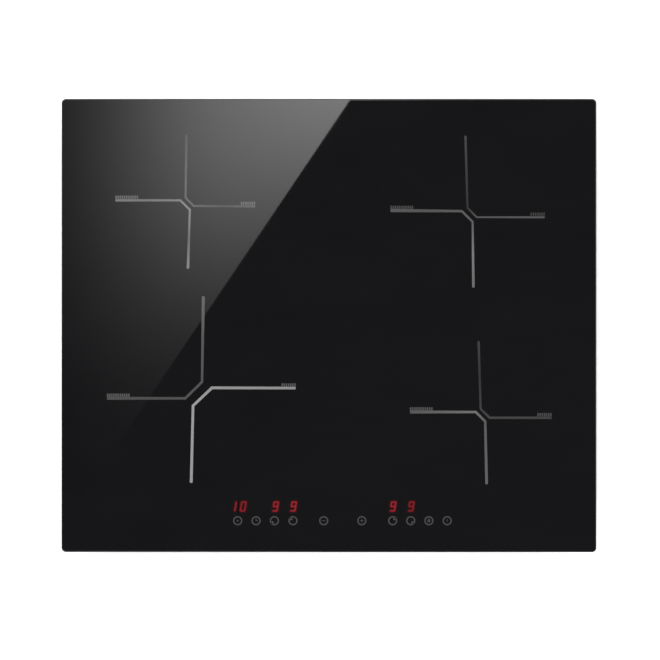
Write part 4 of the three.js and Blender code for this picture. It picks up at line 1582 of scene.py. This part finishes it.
def wiring():
    """Leads inside the pan: coils to power boards, mains to filter, and the control's ribbon."""
    for side_name, side in SIDES.items():
        foot = box(f"power_board_{side_name}")[1].z
        for row, y in enumerate((26, 38)):
            for strand in (0, 1):
                x, drop = 4 * strand, y - 4 * row
                points = ((38 + x, y + 3 * strand, 36.5), (44 + x, y, 30), (52 + 3 * strand, y - 2, 18),
                          (64 + x, drop - 12, foot + 6), (70 + x, drop - 14, foot + 1))
                wire(f"coil_lead_{side_name}_{row}_{strand}", points, 1.3, "copper", side)
        for strand, slot in enumerate(LEADS):
            x = 2.2 * strand
            points = ((136 + x, 118, 12), (134 + x, 104, 16), (128 + x, 92, 18), (118 + x, 76, foot + 5),
                      (112 + x, 70, foot + 1))
            wire(f"blower_lead_{side_name}_{strand}", points, 0.8, slot, side)
    for strand, slot in enumerate(LEADS):
        x, end = 100 + 11 * strand, 58 + 8 * strand
        points = ((x, 219, 12), (x, 213, 12), (x - 3, 206, 13), (x - 14, 200, 18), (end + 8, 196, 20),
                  (end, 192, 19.4))
        wire(f"mains_lead_{strand}", points, 1.5, slot)
    ribbon = bmesh.new()
    path = smooth_path(((30, -190, 40), (34, -180, 30), (44, -176, 18), (58, -180, 15), (72, -184, 18)))
    for offset in in_row(RIBBON.strands, RIBBON.pitch):
        tube(ribbon, [point + Vector((0, offset, 0)) for point in path], RIBBON.radius, 6)
    piece("control_ribbon", ribbon, "grey_plastic", 60)


# Stage: camera, softbox, floor, lamps and room, in metres

LENS, FILM = 200.0, 36.0
FRAME_WIDTH = 0.7276
AIM = Vector((0.0011, -0.00496, 0))
GLASS_TOP = GLASS_HIGH.z * MM
CAMERA_RISE = FRAME_WIDTH * LENS / FILM


def camera():
    data = bpy.data.cameras.new("camera")
    data.lens, data.sensor_width = LENS, FILM
    made = add_object("camera", data)
    made.location = AIM + Vector((0, 0, GLASS_TOP + CAMERA_RISE))
    bpy.context.scene.camera = made


# The softbox over the camera, as its mirror image lies on the glass: a light patch with a straight
# cut edge. Millimetres on the glass, but for its rise in metres and its strength.
SOFTBOX = Sizes(
    rise=4.6,
    edge=((32.0, 262.0), (-207.3, -93.0)), past_top=200.0, past_foot=120.0, reach=420.0,
    centre=(163.6, 401.3), spread=(194.7, 389.0), turn=-1.066,
    fade_from=-383.0, fade_over=274.0, strength=6.0)
SOFTBOX_GROW = (CAMERA_RISE + SOFTBOX.rise) / CAMERA_RISE


def on_card(x, y):
    """Where a spot on the glass, in millimetres, has its mirror image on the softbox's card."""
    spot = AIM.xy + (Vector((x, y)) * MM - AIM.xy) * SOFTBOX_GROW
    return (spot.x, spot.y, 0)


def softbox_light():
    """Light that falls off as a bell curve round a centre, and fades out to one side."""
    material = bpy.data.materials.new("softbox")
    tree = Tree(material)
    tree.nodes.remove(tree.nodes["Principled BSDF"])
    emission = tree.node("Emission")
    tree.links.new(emission.outputs[0], tree.nodes["Material Output"].inputs["Surface"])
    place = tree.node("TexCoord").outputs["Object"]
    centre = on_card(*SOFTBOX.centre)
    centred = tree.node("VectorMath", {0: place, 1: centre}, operation="SUBTRACT").outputs[0]
    turn = {"Vector": centred, "Angle": -SOFTBOX.turn}
    level = tree.node("VectorRotate", turn, rotation_type="Z_AXIS").outputs[0]
    shrink = (*(1 / (spread * MM * SOFTBOX_GROW) for spread in SOFTBOX.spread), 0)
    scaled = tree.node("VectorMath", {0: level, 1: shrink}, operation="MULTIPLY").outputs[0]
    square = tree.node("VectorMath", {0: scaled, 1: scaled}, operation="DOT_PRODUCT").outputs["Value"]
    falloff = tree.math("POWER", math.exp(-1), square)
    across = tree.node("SeparateXYZ", {0: place}).outputs["X"]
    low, high = (on_card(SOFTBOX.fade_from + over, 0)[0] for over in (0, SOFTBOX.fade_over))
    fade = tree.node("MapRange", {"Value": across, "From Min": low, "From Max": high},
                     interpolation_type="SMOOTHSTEP").outputs["Result"]
    strength = tree.math("MULTIPLY", tree.math("MULTIPLY", falloff, fade), SOFTBOX.strength)
    tree.links.new(strength, emission.inputs["Strength"])
    return material


def softbox():
    """A card behind the camera that only the glass's gloss sees."""
    top, foot = (Vector(point) for point in SOFTBOX.edge)
    down = (foot - top).normalized()
    far = Vector((down.y, -down.x)) * SOFTBOX.reach
    start, stop = top - down * SOFTBOX.past_top, foot + down * SOFTBOX.past_foot
    mesh = bpy.data.meshes.new("softbox")
    spots = [on_card(*corner) for corner in (start, start + far, stop + far, stop)]
    mesh.from_pydata([(x, y, GLASS_TOP + SOFTBOX.rise) for x, y, _ in spots], [], [(0, 1, 2, 3)])
    card = add_object("softbox", mesh)
    mesh.materials.append(softbox_light())
    card.visible_diffuse = False
    card.visible_shadow = False


FLOOR = Sizes(radius=14 / MM, drop=0.0004, pale=0.8, palest=0.82, glow=0.3)


def floor():
    """A pale translucent table, lit a little from below so that it stays white round the object."""
    bm = bmesh.new()
    bmesh.ops.create_circle(bm, cap_ends=True, segments=96, radius=FLOOR.radius)
    made = add_object("floor", finish_mesh("floor", bm))
    made.location.z = -FLOOR.drop
    shader = Shader("floor", Roughness=0.9, Emission_Strength=FLOOR.glow, Emission_Color=(1, 1, 1, 1))
    shader.tint(shader.noise(3), (FLOOR.pale,) * 3, (FLOOR.palest,) * 3)
    made.data.materials.append(shader.material)


# Each lamp: how far round it stands and how high it is, in degrees, its light and its softness
LAMPS = {"key": (-35, 52, 2.4, 40), "fill": (120, 48, 1.9, 60), "back": (210, 55, 1.8, 60)}


def lamps():
    for name, (around, up, energy, softness) in LAMPS.items():
        data = bpy.data.lights.new(name, "SUN")
        data.energy, data.angle = energy, math.radians(softness)
        made = add_object(name, data)
        a, e = math.radians(around), math.radians(up)
        toward = Vector((math.sin(a) * math.cos(e), -math.cos(a) * math.cos(e), math.sin(e)))
        made.rotation_mode = "QUATERNION"
        made.rotation_quaternion = toward.to_track_quat("Z", "Y")


# The room's light at rising heights: the sine of the elevation, and the level there
SKY = ((0.0, 1.15), (0.03, 1.1), (0.075, 0.4), (0.2, 0.13), (0.45, 0.12), (0.62, 0.34), (0.85, 0.24),
       (0.97, 0.03))
# Tall panels, each a band beside a great circle: the circle's pole, and the light at its edge.
# Their mirror images cross the glass with one sharp edge, seen from the right and from the rear.
PANELS = (((0.71, 0.29, 0.64), 0.55), ((-0.63, -0.37, 0.683), 0.5), ((0.25, 0.3, 0.92), 0.3))
PANEL_EDGE, PANEL_REACH = 0.006, 0.2


def gray_ramp(tree, value, stops):
    """A colour ramp through (position, level) stops."""
    ramp = tree.node("ValToRGB", {0: value})
    marks = ramp.color_ramp.elements
    while len(marks) < len(stops):
        marks.new(0.5)
    for i, (position, level) in enumerate(stops):
        marks[i].position = position
        marks[i].color = (level, level, level, 1)
    return ramp.outputs[0]


def sky():
    """Pale at the horizon and dim overhead, so that the glass stays black, with tall lit panels."""
    world = bpy.data.worlds.new("studio")
    tree = Tree(world)
    way = tree.node("TexCoord").outputs["Generated"]
    total = gray_ramp(tree, tree.node("SeparateXYZ", {0: way}).outputs["Z"], SKY)
    for pole, level in PANELS:
        across = tree.node("VectorMath", {0: way, 1: pole}, operation="DOT_PRODUCT").outputs["Value"]
        panel = gray_ramp(tree, across, ((0, 0), (PANEL_EDGE, level), (PANEL_REACH, 0)))
        total = tree.node("VectorMath", {0: total, 1: panel}).outputs[0]
    tree.links.new(total, tree.nodes["Background"].inputs["Color"])
    bpy.context.scene.world = world


def stage():
    bpy.context.scene.view_settings.view_transform = "Standard"
    camera()
    softbox()
    floor()
    lamps()
    sky()


def cooktop():
    glass_sheet()
    zone_marks()
    keys()
    for name, (x, figure, drive) in DIGITS.items():
        digit(name, x, figure, drive)
    pan()
    wall_screws()
    floor_screws()
    seals()
    clamps()
    terminal_box()
    terminal_trim()
    terminal_cover()


def interior():
    centre_rail()
    for zone in ZONES:
        coil_winding(zone)
        ferrite_bars(zone)
        coil_former(zone)
        mica_sheet(zone)
        heat_sensor(zone)
    for side_name, side in SIDES.items():
        coil_shelf(side_name, side)
        board_tray(side_name)
        power_board(side_name, side)
        heat_sink(side_name)
        power_parts(side_name, side)
        blower_scroll(side_name, side)
        blower_trim(side_name, side)
        impeller(side_name, side)
    board("filter_board")
    filter_parts()
    touch_control()
    display_modules()
    terminal_block()
    shelf_screws()
    wiring()


stage()
paint_frame()
cooktop()
interior()
